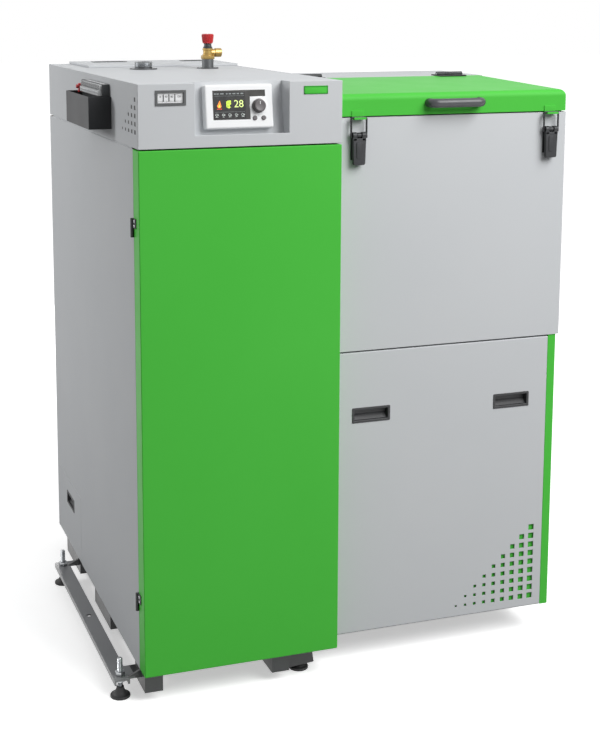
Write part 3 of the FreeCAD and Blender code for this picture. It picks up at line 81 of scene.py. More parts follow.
MM = 0.001
LOG = logging.getLogger("coal_boiler")
FRONT = Vector((0, -1, 0))
LEFT = Vector((-1, 0, 0))
BACK = Vector((0, 1, 0))
UP = Vector((0, 0, 1))
HERE = Matrix.Identity(4)
QUARTER = math.pi / 2
# Most of a noise texture lies between these values.
NOISE_RANGE = (0.3, 0.7)
# A mix node repeats its socket names, so its factor, its two colours and its result go by number.
FACTOR, FIRST, SECOND, MIXED = 0, 6, 7, 2
# Points closer than the first are one point, and heights closer than the second are one height, in metres.
ONE_POINT, ONE_HEIGHT = 1e-6, 1e-7
# Facets across a corner of an outline, across an eased edge and across a chamfer.
CORNER_FACETS, EDGE_FACETS, CHAMFER_FACETS = 6, 3, 2


def linear(colour: str) -> tuple[float, float, float, float]:
    """Turns an sRGB hex colour into linear light.

    Args:
        colour: six hex digits after a hash.
    Returns:
        Linear red, green and blue, and an alpha of 1.
    """
    srgb = (int(colour[start:start + 2], 16) / 255 for start in (1, 3, 5))
    red, green, blue = (v / 12.92 if v <= 0.04045 else ((v + 0.055) / 1.055) ** 2.4 for v in srgb)
    return red, green, blue, 1.0


def facing(at: Vector, out: Vector, up: Vector = UP) -> Matrix:
    """Local frame on a face: x to the viewer's right, y up the face, z out of it.

    Args:
        at: the local origin in metres.
        out: the direction out of the face.
        up: the direction that is up on the face, roughly.
    Returns:
        The matrix from that local frame to the frame of the model.
    """
    z = out.normalized()
    x = up.cross(z).normalized()
    turn = Matrix((x, z.cross(x), z)).transposed().to_4x4()
    return Matrix.Translation(at) @ turn


def moved(x: float, y: float, z: float = 0.0) -> Matrix:
    """Shift by millimetres, as a matrix in metres."""
    return Matrix.Translation((x * MM, y * MM, z * MM))


def in_scene(made: bpy.types.Object) -> bpy.types.Object:
    """Puts a new object into the scene and hands it back."""
    bpy.context.scene.collection.objects.link(made)
    return made


# Finishes


def add(tree: Tree, kind: str, inputs: Optional[dict] = None, **settings) -> bpy.types.bpy_prop_collection:
    """Adds one node with its settings and links.

    Args:
        tree: the tree that it goes into.
        kind: the node's type, without the ShaderNode that every type starts with.
        inputs: socket name or number to a constant or to the socket that feeds it.
        settings: properties of the node.
    Returns:
        The new node's outputs.
    """
    made = tree.nodes.new(f"ShaderNode{kind}")
    for key, value in settings.items():
        setattr(made, key, value)
    for key, value in (inputs or {}).items():
        if isinstance(value, Socket):
            tree.links.new(value, made.inputs[key])
        else:
            made.inputs[key].default_value = value
    return made.outputs


def started(name: str) -> tuple[bpy.types.Material, Tree, Socket]:
    """Starts an empty material.

    Args:
        name: the material's name.
    Returns:
        The material, its node tree and the socket of its Object coordinates.
    """
    material = bpy.data.materials.new(name)
    material.use_nodes = True
    tree = material.node_tree
    tree.nodes.clear()
    return material, tree, add(tree, "TexCoord")["Object"]


def closed(material: bpy.types.Material, surface: dict) -> bpy.types.Material:
    """Ends a material with a principled surface.

    Args:
        material: the material that started() gave.
        surface: the principled surface's inputs.
    Returns:
        The same material.
    """
    tree = material.node_tree
    add(tree, "OutputMaterial", {"Surface": add(tree, "BsdfPrincipled", surface)["BSDF"]})
    return material


def seen_ray(tree: Tree) -> Socket:
    """Tells rays that show a surface from rays that only light.

    Args:
        tree: the node tree of a floor or a world.
    Returns:
        A socket that is 1 for camera, glossy and transmission rays.
    """
    rays = add(tree, "LightPath")
    seen = rays["Is Camera Ray"]
    for name in ("Is Glossy Ray", "Is Transmission Ray"):
        seen = add(tree, "Math", {0: seen, 1: rays[name]}, operation="MAXIMUM")[0]
    return seen


@dataclass(frozen=True)
class Pattern:
    """Noise whose features have a real size. A stretch below 1 draws it out along that axis of the object."""
    size_mm: float
    detail: float
    stretch: Triple = (1, 1, 1)

    def inputs(self, place: Socket) -> dict:
        """Inputs of the noise texture that draws the pattern."""
        return {"Vector": place, "Scale": 1 / (self.size_mm * MM), "Detail": self.detail}


@dataclass(frozen=True)
class Layers:
    """How a finish is built up: patterns that lead its colour, its roughness and its relief."""
    tone: Pattern
    rough: Optional[Pattern] = None
    rough_range: Pair = (0.0, 1.0)
    relief: Optional[Pattern] = None
    depth_mm: float = 0.0
    surface: Optional[dict] = None


@dataclass(frozen=True)
class Coat:
    """What the finishes share: the material's name, its slot, and two colours that a pattern mixes."""
    name: str
    slot: str
    colour: str
    second: str

    def layers(self) -> Layers:
        """Says how the finish is built up."""
        raise NotImplementedError

    def tone(self, tree: Tree, place: Socket, mix: Socket) -> Socket:
        """Mixes the two colours. A finish that varies with its place on the object overrides this."""
        inputs = {FACTOR: mix, FIRST: linear(self.colour), SECOND: linear(self.second)}
        return add(tree, "Mix", inputs, data_type="RGBA")[MIXED]

    def material(self) -> bpy.types.Material:
        """Builds the material from the finish's layers.

        Returns:
            The material.
        """
        material, tree, place = started(self.name)
        layers = self.layers()
        noise: dict[Pattern, Socket] = {}
        for pattern in filter(None, (layers.tone, layers.rough, layers.relief)):
            if pattern in noise:
                continue
            drawn = place
            if pattern.stretch != Pattern.stretch:
                drawn = add(tree, "Mapping", {"Vector": place, "Scale": pattern.stretch})["Vector"]
            noise[pattern] = add(tree, "TexNoise", pattern.inputs(drawn))["Fac"]
        surface = {"Base Color": self.tone(tree, place, noise[layers.tone]), **(layers.surface or {})}
        if layers.rough:
            (low, high), (least, most) = NOISE_RANGE, layers.rough_range
            inputs = {"Value": noise[layers.rough], "From Min": low, "From Max": high, "To Min": least,
                      "To Max": most}
            surface["Roughness"] = add(tree, "MapRange", inputs)["Result"]
        if layers.relief:
            inputs = {"Height": noise[layers.relief], "Distance": layers.depth_mm * MM}
            surface["Normal"] = add(tree, "Bump", inputs)["Normal"]
        return closed(material, surface)


@dataclass(frozen=True)
class PowderCoat(Coat):
    """Polyester powder baked on sheet steel: an even colour with the fine dimples of orange peel."""
    roughness: float
    peel_mm: float = 2.6
    peel_depth_mm: float = 0.025
    patch_mm: float = 380.0
    spread: float = 0.02
    shine: float = 0.1

    def layers(self) -> Layers:
        """Wide patches of colour, smaller ones of gloss, and the peel."""
        return Layers(Pattern(self.patch_mm, 3.0), Pattern(self.patch_mm / 6, 4.0),
                      (self.roughness - self.spread, self.roughness + self.spread),
                      Pattern(self.peel_mm, 1.0), self.peel_depth_mm, {"Specular IOR Level": self.shine})


@dataclass(frozen=True)
class FramePaint(Coat):
    """Brushed black enamel on welded steel, with the outer rail in worn grey where feet rub it."""
    rail: str
    rail_worn: str
    rail_x_mm: float
    rail_top_mm: float
    scuff: Pattern = Pattern(55.0, 6.0, (1, 0.4, 1))
    brush: Pattern = Pattern(3.0, 3.0, (1, 0.2, 1))
    brush_depth_mm: float = 0.06
    gloss: Pair = (0.3, 0.46)
    varnish: float = 0.2
    varnish_roughness: float = 0.2

    def layers(self) -> Layers:
        """Scuffs lead the colour and the gloss, and brush marks the relief."""
        return Layers(self.scuff, self.scuff, self.gloss, self.brush, self.brush_depth_mm,
                      {"Coat Weight": self.varnish, "Coat Roughness": self.varnish_roughness})

    def tone(self, tree: Tree, place: Socket, mix: Socket) -> Socket:
        """Keeps the grey to the rail: what is left of one plane and under another.

        Args:
            tree: the material's tree.
            place: the Object coordinates.
            mix: the pattern's socket.
        Returns:
            The colour's socket.
        """
        axes = add(tree, "SeparateXYZ", {"Vector": place})
        beside = add(tree, "Math", {0: axes["X"], 1: self.rail_x_mm * MM}, operation="LESS_THAN")[0]
        under = add(tree, "Math", {0: axes["Z"], 1: self.rail_top_mm * MM}, operation="LESS_THAN")[0]
        on_rail = add(tree, "Math", {0: beside, 1: under}, operation="MULTIPLY")[0]
        dark = super().tone(tree, place, mix)
        rail = {FACTOR: mix, FIRST: linear(self.rail), SECOND: linear(self.rail_worn)}
        grey = add(tree, "Mix", rail, data_type="RGBA")[MIXED]
        return add(tree, "Mix", {FACTOR: on_rail, FIRST: dark, SECOND: grey}, data_type="RGBA")[MIXED]


@dataclass(frozen=True)
class Metal(Coat):
    """Bare or plated metal: a tint that wanders with the plating, and drawn-out lines left by the tool."""
    roughness: float
    grain_mm: float
    stretch: Triple = (1, 1, 1)
    relief_mm: float = 0.02
    metallic: float = 1.0
    spread: Pair = (0.07, 0.09)

    def layers(self) -> Layers:
        """Tint, gloss and tool lines, each finer than the one before."""
        less, more = self.spread
        return Layers(Pattern(self.grain_mm * 6, 4.0), Pattern(self.grain_mm * 2, 4.0),
                      (self.roughness - less, self.roughness + more),
                      Pattern(self.grain_mm, 3.0, self.stretch), self.relief_mm, {"Metallic": self.metallic})


@dataclass(frozen=True)
class Moulded(Coat):
    """Injection-moulded plastic or rubber: the fine spark-eroded grain of the tool dulls its shine."""
    roughness: float
    grain_mm: float = 0.9
    grain_depth_mm: float = 0.03
    handled: Pattern = Pattern(28.0, 3.0)
    spread: float = 0.05

    def layers(self) -> Layers:
        """Handling rubs the colour and the gloss, over the tool's grain."""
        return Layers(self.handled, self.handled,
                      (self.roughness + self.spread, self.roughness - self.spread),
                      Pattern(self.grain_mm, 2.0), self.grain_depth_mm)


@dataclass(frozen=True)
class StoneWool(Coat):
    """Pressed stone wool: yellow-brown fibres with a soft, matt pile."""
    fibres: Pattern = Pattern(6.0, 8.0, (1, 1, 0.25))
    pile_mm: float = 1.2
    roughness: float = 0.95
    sheen: float = 0.3

    def layers(self) -> Layers:
        """Fibres lead the colour and the pile."""
        return Layers(self.fibres, relief=self.fibres, depth_mm=self.pile_mm,
                      surface={"Roughness": self.roughness, "Sheen Weight": self.sheen})


@dataclass(frozen=True)
class DisplayGlass(Coat):
    """Dark cover glass over a panel: near black, with a clear gloss and faint finger marks."""
    smear: Pattern = Pattern(16.0, 5.0)
    gloss: Pair = (0.07, 0.2)
    clear: float = 0.6
    clear_roughness: float = 0.04

    def layers(self) -> Layers:
        """Finger marks dull the glass."""
        return Layers(self.smear, self.smear, self.gloss,
                      surface={"Coat Weight": self.clear, "Coat Roughness": self.clear_roughness})


@dataclass(frozen=True)
class LitMark(Coat):
    """Lit cells of a colour panel: a glow broken by rows, drawn coarser than real ones so that they show."""
    strength: float = 0.9
    row_mm: float = 3.77
    roughness: float = 0.4

    def material(self) -> bpy.types.Material:
        """Builds the material.

        Returns:
            The material.
        """
        material, tree, place = started(self.name)
        # A wave texture of scale 1 has 20 / tau waves in a metre.
        scale = math.tau / (20 * self.row_mm * MM)
        rows = add(tree, "TexWave", {"Vector": place, "Scale": scale}, bands_direction="Z")["Fac"]
        tone = self.tone(tree, place, rows)
        return closed(material, {"Base Color": tone, "Roughness": self.roughness, "Emission Color": tone,
                                 "Emission Strength": self.strength})


@dataclass(frozen=True)
class StudioFloor:
    """Pale seamless paper: it keeps the soft shadow near the object, runs out to white where it is only seen,
    and throws back less light than it shows, so that the sheets darken towards the floor as in the photo."""
    name: str = "Pale_seamless_paper"
    paper: tuple[str, str] = ("#F9F9F9", "#F6F6F6")
    fibres: Pattern = Pattern(40.0, 4.0)
    roughness: float = 0.9
    thrown_back: str = "#7A7A7A"
    near_m: float = 0.9
    far_m: float = 2.6
    near_lift: float = 0.46
    far_lift: float = 0.8

    def material(self) -> bpy.types.Material:
        """Builds the material.

        Returns:
            The material.
        """
        material, tree, place = started(self.name)
        seen = seen_ray(tree)
        fibres = add(tree, "TexNoise", self.fibres.inputs(place))["Fac"]
        first, second = (linear(colour) for colour in self.paper)
        paper = add(tree, "Mix", {FACTOR: fibres, FIRST: first, SECOND: second}, data_type="RGBA")[MIXED]
        inputs = {FACTOR: seen, FIRST: linear(self.thrown_back), SECOND: paper}
        tone = add(tree, "Mix", inputs, data_type="RGBA")[MIXED]
        reach = add(tree, "VectorMath", {0: place}, operation="LENGTH")["Value"]
        lift = add(tree, "MapRange", {"Value": reach, "From Min": self.near_m, "From Max": self.far_m,
                                      "To Min": self.near_lift, "To Max": self.far_lift},
                   interpolation_type="SMOOTHSTEP")["Result"]
        strength = add(tree, "Math", {0: lift, 1: seen}, operation="MULTIPLY")[0]
        return closed(material, {"Base Color": tone, "Roughness": self.roughness, "Specular IOR Level": 0.0,
                                 "Emission Color": (1, 1, 1, 1), "Emission Strength": strength})


class Finish(Enum):
    """Every finish on the boiler."""
    GREEN = PowderCoat("Green_powder_coated_sheet", "green_paint", "#49B93F", "#51BE47", 0.42)
    BADGE = PowderCoat("Deep_green_printed_badge", "green_paint", "#2F9A2C", "#38A233", 0.4)
    GREY = PowderCoat("Light_grey_powder_coated_sheet", "light_grey_paint", "#C3C6C9", "#CACCCE", 0.58)
    MOTOR = PowderCoat("Blue_grey_sprayed_motor_casting", "dark_grey_paint", "#5C666E", "#66707A", 0.45,
                       4.0, 0.1)
    TRAY = PowderCoat("Dark_grey_powder_coated_tray", "dark_grey_paint", "#343537", "#3D3E40", 0.42)
    FRAME = FramePaint("Black_enamelled_welded_frame", "black_paint", "#1E1F21", "#2B2C2E",
                       "#727375", "#838486", -481.0, 49.0)
    HARDWARE = Metal("Black_oxide_pressed_hardware", "black_paint", "#38393B", "#2A2B2D", 0.45, 3.0,
                     relief_mm=0.03, metallic=0.55)
    WIRE = Metal("Black_phosphated_drawn_wire", "black_paint", "#2A2A2C", "#37373A", 0.42, 2.0, metallic=0.6)
    VESSEL = Metal("Heat_proof_black_rolled_plate", "vessel_steel", "#2C2B2B", "#3A3735", 0.62, 9.0,
                   relief_mm=0.15, metallic=0.2)
    IRON = Metal("Sand_cast_grey_iron", "iron", "#3F3E3D", "#4C4947", 0.6, 2.4, relief_mm=0.25, metallic=0.6)
    STEEL = Metal("Zinc_plated_turned_steel", "steel", "#B9BBBD", "#A3A6A9", 0.3, 2.0, (1, 1, 6))
    SHEET = Metal("Hot_dip_galvanised_sheet", "steel", "#A9ADB0", "#8F9497", 0.42, 14.0, relief_mm=0.03)
    BRASS = Metal("Forged_and_turned_brass", "brass", "#BFA267", "#AC8F55", 0.34, 3.0, (1, 1, 5))
    NICKEL = Metal("Dull_nickel_plated_socket", "steel", "#6F7072", "#5E6062", 0.42, 3.0, (1, 1, 5))
    WOOL = StoneWool("Pressed_stone_wool", "mineral_wool", "#A88F5C", "#8A7548")
    # Painted shade: the dark sheets in the hood's side vents stand in for the shade inside the hood, with a
    # fine grain.
    MESH = Moulded("Black_painted_vent_shade", "black_plastic", "#1A1B1C", "#232425", 0.7, 1.2, 0.2)
    BLACK = Moulded("Black_moulded_ABS", "black_plastic", "#2C2E30", "#34373A", 0.42)
    PULL = Moulded("Charcoal_moulded_ABS", "black_plastic", "#1A1B1D", "#222326", 0.5)
    HANDLE = Moulded("Dark_grey_moulded_nylon", "black_plastic", "#3A3B3E", "#444548", 0.36)
    GAUGE = Moulded("Mid_grey_moulded_ABS_frame", "black_plastic", "#4E5051", "#585A5B", 0.4)
    KNOB = Moulded("Warm_grey_moulded_ABS", "grey_plastic", "#575355", "#625E60", 0.45)
    TERMINAL = Moulded("Pale_grey_polyamide_housing", "grey_plastic", "#D2D4D5", "#C2C4C6", 0.5)
    WHITE = Moulded("White_moulded_ABS", "white_plastic", "#EDEEEF", "#E6E7E8", 0.34, 0.7, 0.012)
    RED = Moulded("Red_moulded_polypropylene", "red_plastic", "#C4252B", "#B01E24", 0.36)
    RUBBER = Moulded("Black_extruded_EPDM", "rubber", "#1E1E1F", "#262627", 0.6)
    GLASS = DisplayGlass("Dark_display_cover_glass", "display", "#2E2D2B", "#363532")
    LCD = DisplayGlass("Black_unlit_display_cells", "display", "#0A0B0C", "#101112")
    LIT_WHITE = LitMark("White_lit_display_cells", "display", "#D2D8D4", "#AEB7B3", 0.7)
    LIT_GREY = LitMark("Grey_lit_display_cells", "display", "#8A9090", "#6C7272", 0.5)
    LIT_LIME = LitMark("Lime_lit_display_cells", "display", "#C3D94A", "#9CB433")
    LIT_PALE = LitMark("Pale_lime_lit_display_cells", "display", "#CFE08A", "#AEBF70")
    LIT_ORANGE = LitMark("Orange_lit_display_cells", "display", "#F08A2A", "#D86A1C")
    LIT_RED = LitMark("Red_lit_display_cells", "display", "#D5402A", "#B22F1F")

    def material(self) -> bpy.types.Material:
        """Gives the finish's material, which is built once."""
        return bpy.data.materials.get(self.value.name) or self.value.material()


# Shapes


def settled(shape: Shape, at: Matrix) -> Shape:
    """Merges doubles, turns the normals out and moves a shape to its place.

    Args:
        shape: the shape in its local frame.
        at: the place of the local frame.
    Returns:
        The same shape.
    """
    bmesh.ops.remove_doubles(shape, verts=shape.verts, dist=ONE_POINT)
    bmesh.ops.recalc_face_normals(shape, faces=shape.faces)
    bmesh.ops.transform(shape, matrix=at, verts=shape.verts)
    return shape


def lathe(profile: Pairs, at: Matrix, steps: int = 48) -> Shape:
    """Turns a profile round the local Z axis.

    Args:
        profile: (radius, height) points in millimetres.
        at: the place of the local frame.
        steps: facets in a turn.
    Returns:
        The turned shape.
    """
    shape = bmesh.new()
    points = [shape.verts.new((radius * MM, 0, height * MM)) for radius, height in profile]
    edges = [shape.edges.new(pair) for pair in zip(points, points[1:])]
    bmesh.ops.spin(shape, geom=points + edges, cent=(0, 0, 0), axis=UP, angle=math.tau, steps=steps,
                   use_merge=True)
    return settled(shape, at)


def ribbed(profile: Pairs, at: Matrix, ribs: int, facets: int, band: Pair, groove: float) -> Shape:
    """Turned grip with upright ribs.

    Args:
        profile: (radius, height) points in millimetres.
        at: the place of the local frame.
        ribs: the number of ribs.
        facets: facets in one rib with its groove, which takes half of them.
        band: the heights between which the grooves run.
        groove: their depth in millimetres at the largest radius.
    Returns:
        The grip.
    """
    steps = facets * ribs
    shape = lathe(profile, HERE, steps)
    low, high = (height * MM for height in band)
    shrink = 1 - groove / max(radius for radius, _ in profile)
    for vert in shape.verts:
        step = round(math.atan2(vert.co.y, vert.co.x) / math.tau * steps) % facets
        if step >= facets / 2 and low < vert.co.z < high:
            vert.co.xy *= shrink
    return settled(shape, at)


def ease(shape: Shape, edges: Iterable, radius: float, segments: int) -> None:
    """Rounds edges of a shape by a radius in millimetres, with so many facets across the round."""
    bmesh.ops.bevel(shape, geom=list(edges), offset=radius * MM, offset_type="OFFSET", segments=segments,
                    profile=0.5, affect="EDGES", material=-1, clamp_overlap=True)


def extruded(shape: Shape, faces: Faces, by: Vector) -> Faces:
    """Pulls faces out of a shape.

    Args:
        shape: the shape that holds them.
        faces: the faces to pull, which also stay behind.
        by: the pull in metres.
    Returns:
        The faces at its far end.
    """
    grown = bmesh.ops.extrude_face_region(shape, geom=faces)["geom"]
    bmesh.ops.translate(shape, vec=by, verts=[v for v in grown if isinstance(v, bmesh.types.BMVert)])
    return [f for f in grown if isinstance(f, bmesh.types.BMFace)]


def disc(radius_mm: float, segments: int) -> Shape:
    """Flat disc on the local XY plane, as the start of another shape."""
    shape = bmesh.new()
    bmesh.ops.create_circle(shape, cap_ends=True, segments=segments, radius=radius_mm * MM)
    return shape


def slab(size: Triple, at: Matrix, corner: float = 0.0, edge: float = 0.0, taper: float = 1.0) -> Shape:
    """Plate on the local XY plane with a rounded outline and eased front edges.

    Args:
        size: width, height and thickness in millimetres.
        at: the place of the plate's back middle.
        corner: radius of the outline's corners in millimetres.
        edge: radius of the front edges in millimetres.
        taper: width at the low end over the width at the high end.
    Returns:
        The plate.
    """
    shape = bmesh.new()
    thick = size[2] * MM
    bmesh.ops.create_cube(shape, size=1.0)
    bmesh.ops.translate(shape, vec=(0, 0, 0.5), verts=shape.verts)
    bmesh.ops.scale(shape, vec=Vector(size) * MM, verts=shape.verts)
    bmesh.ops.scale(shape, vec=(taper, 1, 1), verts=[v for v in shape.verts if v.co.y < 0])
    if corner:
        upright = [e for e in shape.edges if abs(e.verts[0].co.z - e.verts[1].co.z) > thick / 2]
        ease(shape, upright, corner, CORNER_FACETS)
    if edge:
        front = [e for e in shape.edges if all(v.co.z > thick - ONE_HEIGHT for v in e.verts)]
        ease(shape, front, edge, EDGE_FACETS)
    return settled(shape, at)


def hexagon(across: float, height: float, at: Matrix, chamfer: float = 1.0) -> Shape:
    """Six-sided nut or boss with eased ends.

    Args:
        across: width across the flats in millimetres.
        height: height in millimetres.
        at: the place of its base middle.
        chamfer: easing of its end edges in millimetres.
    Returns:
        The hexagon.
    """
    shape = disc(across / math.sqrt(3), 6)
    extruded(shape, list(shape.faces), UP * height * MM)
    level = [e for e in shape.edges if abs(e.verts[0].co.z - e.verts[1].co.z) < ONE_HEIGHT]
    ease(shape, level, chamfer, CHAMFER_FACETS)
    return settled(shape, at)


def thread(radius: float, pitch: float, low: float, high: float) -> list[Pair]:
    """Profile of a threaded shank.

    Args:
        radius: outer radius in millimetres.
        pitch: thread pitch in millimetres.
        low, high: the shank's ends in millimetres.
    Returns:
        (radius, height) points from low to high.
    """
    turns = max(1, int((high - low) / pitch))
    step = (high - low) / turns
    # A metric thread is about 0.6 of its pitch deep.
    root = radius - 0.6 * pitch
    points = []
    for turn in range(turns):
        points += [(root, low + step * turn), (radius, low + step * (turn + 0.5))]
    return points + [(root, high)]


def screw_head(radius: float, height: float, at: Matrix) -> Shape:
    """Pan-head screw with a round socket.

    Args:
        radius: the head's radius in millimetres.
        height: the head's height in millimetres.
        at: the place of the head's seat.
    Returns:
        The head.
    """
    rounding, land, sunk = 0.5 * height, 0.35 * radius, 0.6 * height
    shape = disc(radius, 24)
    top, = extruded(shape, list(shape.faces), UP * height * MM)
    ease(shape, top.edges, rounding, EDGE_FACETS)
    top = max(shape.faces, key=lambda face: face.calc_center_median().z)
    bmesh.ops.inset_region(shape, faces=[top], thickness=land * MM)
    extruded(shape, [top], -UP * sunk * MM)
    bmesh.ops.delete(shape, geom=[top], context="FACES_ONLY")
    return settled(shape, at)


def lettering(text: str, height: float, depth: float, at: Matrix) -> Shape:
    """Raised figures as a mesh.

    Args:
        text: the figures.
        height: their height in millimetres.
        depth: their thickness in millimetres.
        at: the place of their middle.
    Returns:
        The figures.
    """
    data = bpy.data.curves.new("figures", "FONT")
    data.body = text
    data.align_x = "CENTER"
    data.align_y = "CENTER"
    # Figures are about 0.7 of the font's size high.
    data.size = height * MM / 0.7
    data.extrude = depth * MM / 2
    data.resolution_u = 4
    maker = bpy.data.objects.new("figures", data)
    made = bpy.data.meshes.new_from_object(maker)
    shape = bmesh.new()
    shape.from_mesh(made)
    bpy.data.objects.remove(maker)
    bpy.data.meshes.remove(made)
    bpy.data.curves.remove(data)
    return settled(shape, at)


def bent_rod(radius: float, start: Vector, heading: Vector, axis: Vector, runs: Sequence[float],
             bend: float) -> Shape:
    """Round rod with a right-angle bend, all of one hand, between each two straight runs.

    Args:
        radius: the rod's radius in metres.
        start: the middle of its first end.
        heading: the direction of the first run.
        axis: the direction that it bends round.
        runs: the lengths of the straight runs in metres.
        bend: the bend radius in metres.
    Returns:
        The closed rod.
    """
    up = axis if abs(heading.dot(UP)) > 0.5 else UP
    shape = settled(disc(radius / MM, 28), facing(start, heading, up))
    front = list(shape.faces)
    at, way = start.copy(), heading.copy()
    for step, run in enumerate(runs):
        if step:
            centre = at + axis.cross(way) * bend
            swept = bmesh.ops.spin(shape, geom=front, cent=centre, axis=axis, angle=QUARTER, steps=8)
            behind, front = front, [f for f in swept["geom_last"] if isinstance(f, bmesh.types.BMFace)]
            bmesh.ops.delete(shape, geom=behind, context="FACES_ONLY")
            at, way = centre + way * bend, axis.cross(way)
        behind, front = front, extruded(shape, front, way * run)
        if step:
            bmesh.ops.delete(shape, geom=behind, context="FACES_ONLY")
        at = at + way * run
    return settled(shape, HERE)


class Piece:
    """One shown piece: gathers shapes and becomes an object that rides a CAD body."""

    def __init__(self, name: str, finish: Finish, body: str = "boiler") -> None:
        """Starts a piece with no shape yet."""
        self.name, self.finish, self.body = name, finish, body
        self.shape = bmesh.new()

    def add(self, *shapes: Shape) -> "Piece":
        """Takes shapes into the piece.

        Args:
            shapes: shapes already in their place.
        Returns:
            The piece.
        """
        for shape in shapes:
            carrier = bpy.data.meshes.new("carrier")
            shape.to_mesh(carrier)
            self.shape.from_mesh(carrier)
            shape.free()
            bpy.data.meshes.remove(carrier)
        return self

    def place(self, *replaced: str, smooth: float = 38.0) -> None:
        """Makes the object, shades it, gives it its finish and lets it ride its body.

        Args:
            replaced: CAD nodes that the piece stands for.
            smooth: the angle in degrees up to which edges are shaded smooth.
        """
        mesh = bpy.data.meshes.new(self.name)
        self.shape.to_mesh(mesh)
        self.shape.free()
        mesh.shade_smooth()
        mesh.set_sharp_from_angle(angle=math.radians(smooth))
        mesh.materials.append(self.finish.material())
        made = in_scene(bpy.data.objects.new(self.name, mesh))
        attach(made, self.body)
        if replaced:
            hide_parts(*replaced)
        LOG.info("piece %s: %d faces, rides %s", self.name, len(mesh.polygons), self.body)


# CAD nodes


@dataclass
class SheetEdges:
    """Small bend radius on the sharp edges of sheet-metal CAD nodes."""
    width_mm: float = 1.0
    angle_deg: float = 40.0
    segments: int = 2

    def dress(self, node: bpy.types.Object) -> None:
        """Adds the modifiers that ease a node's edges.

        Args:
            node: the CAD node's object.
        """
        weld = node.modifiers.new("Joined corners", "WELD")
        weld.merge_threshold = ONE_POINT
        bevel = node.modifiers.new("Eased edges", "BEVEL")
        bevel.width = self.width_mm * MM
        bevel.segments = self.segments
        bevel.limit_method = "ANGLE"
        bevel.angle_limit = math.radians(self.angle_deg)
        bevel.use_clamp_overlap = True
        even = node.modifiers.new("Even shading", "WEIGHTED_NORMAL")
        even.keep_sharp = False


class CadNodes:
    """Finishes and eased edges of the CAD nodes that are shown as they are."""
    FINISHES: dict[Finish, tuple[str, ...]] = {
        Finish.GREEN: ("front_door", "hopper_side_panel", "lid_shell", "latch_keepers"),
        Finish.GREY: ("left_side_panel", "right_side_panel", "rear_panel", "front_frame", "hood_shell",
                      "side_service_cover", "hood_fascia", "cleaning_cover", "hopper_cabinet",
                      "access_panel", "hopper_casing"),
        Finish.FRAME: ("base_frame",),
        Finish.TRAY: ("cable_tray",),
        Finish.HARDWARE: ("door_hinge_leaves", "fixed_hinge_leaves", "lid_hinge_leaves", "latch_bases"),
        Finish.VESSEL: ("water_vessel", "cleaning_door", "fire_door", "ash_door", "exchanger_hatch",
                        "flue_spigot", "feeder_tube", "turbulators"),
        Finish.IRON: ("retort_burner", "flame_deflector"),
        Finish.NICKEL: ("water_stubs", "inner_door_fittings"),
        Finish.SHEET: ("ash_drawer", "hopper_bin", "fan_blower", "fan_impeller"),
        Finish.STEEL: ("hinge_pins", "feed_auger"),
        Finish.WOOL: ("insulation_jacket",),
        Finish.GAUGE: ("thermometer",),
        Finish.BLACK: ("cover_grips", "terminal_block"),
        Finish.WHITE: ("controller_bezel",),
        Finish.GLASS: ("controller_display",),
        Finish.RUBBER: ("lid_seal",),
        Finish.MOTOR: ("gear_motor",),
    }
    EASED = ("hood_shell", "hood_fascia", "left_side_panel", "side_service_cover", "cleaning_cover",
             "cable_tray", "hopper_casing", "access_panel", "hopper_side_panel", "door_hinge_leaves",
             "fixed_hinge_leaves", "lid_hinge_leaves", "latch_bases", "latch_keepers", "terminal_block",
             "rear_panel")

    def dress(self) -> None:
        """Gives every shown CAD node its material and eases the sheet edges."""
        for finish, names in self.FINISHES.items():
            for name in names:
                node = frame["nodes"][name]
                node.data.materials.clear()
                node.data.materials.append(finish.material())
        edges = SheetEdges()
        for name in self.EASED:
            edges.dress(frame["nodes"][name])
        LOG.info("CAD nodes: %d finishes, %d with eased edges", len(self.FINISHES), len(self.EASED))


# Sub-assemblies, with sizes in millimetres


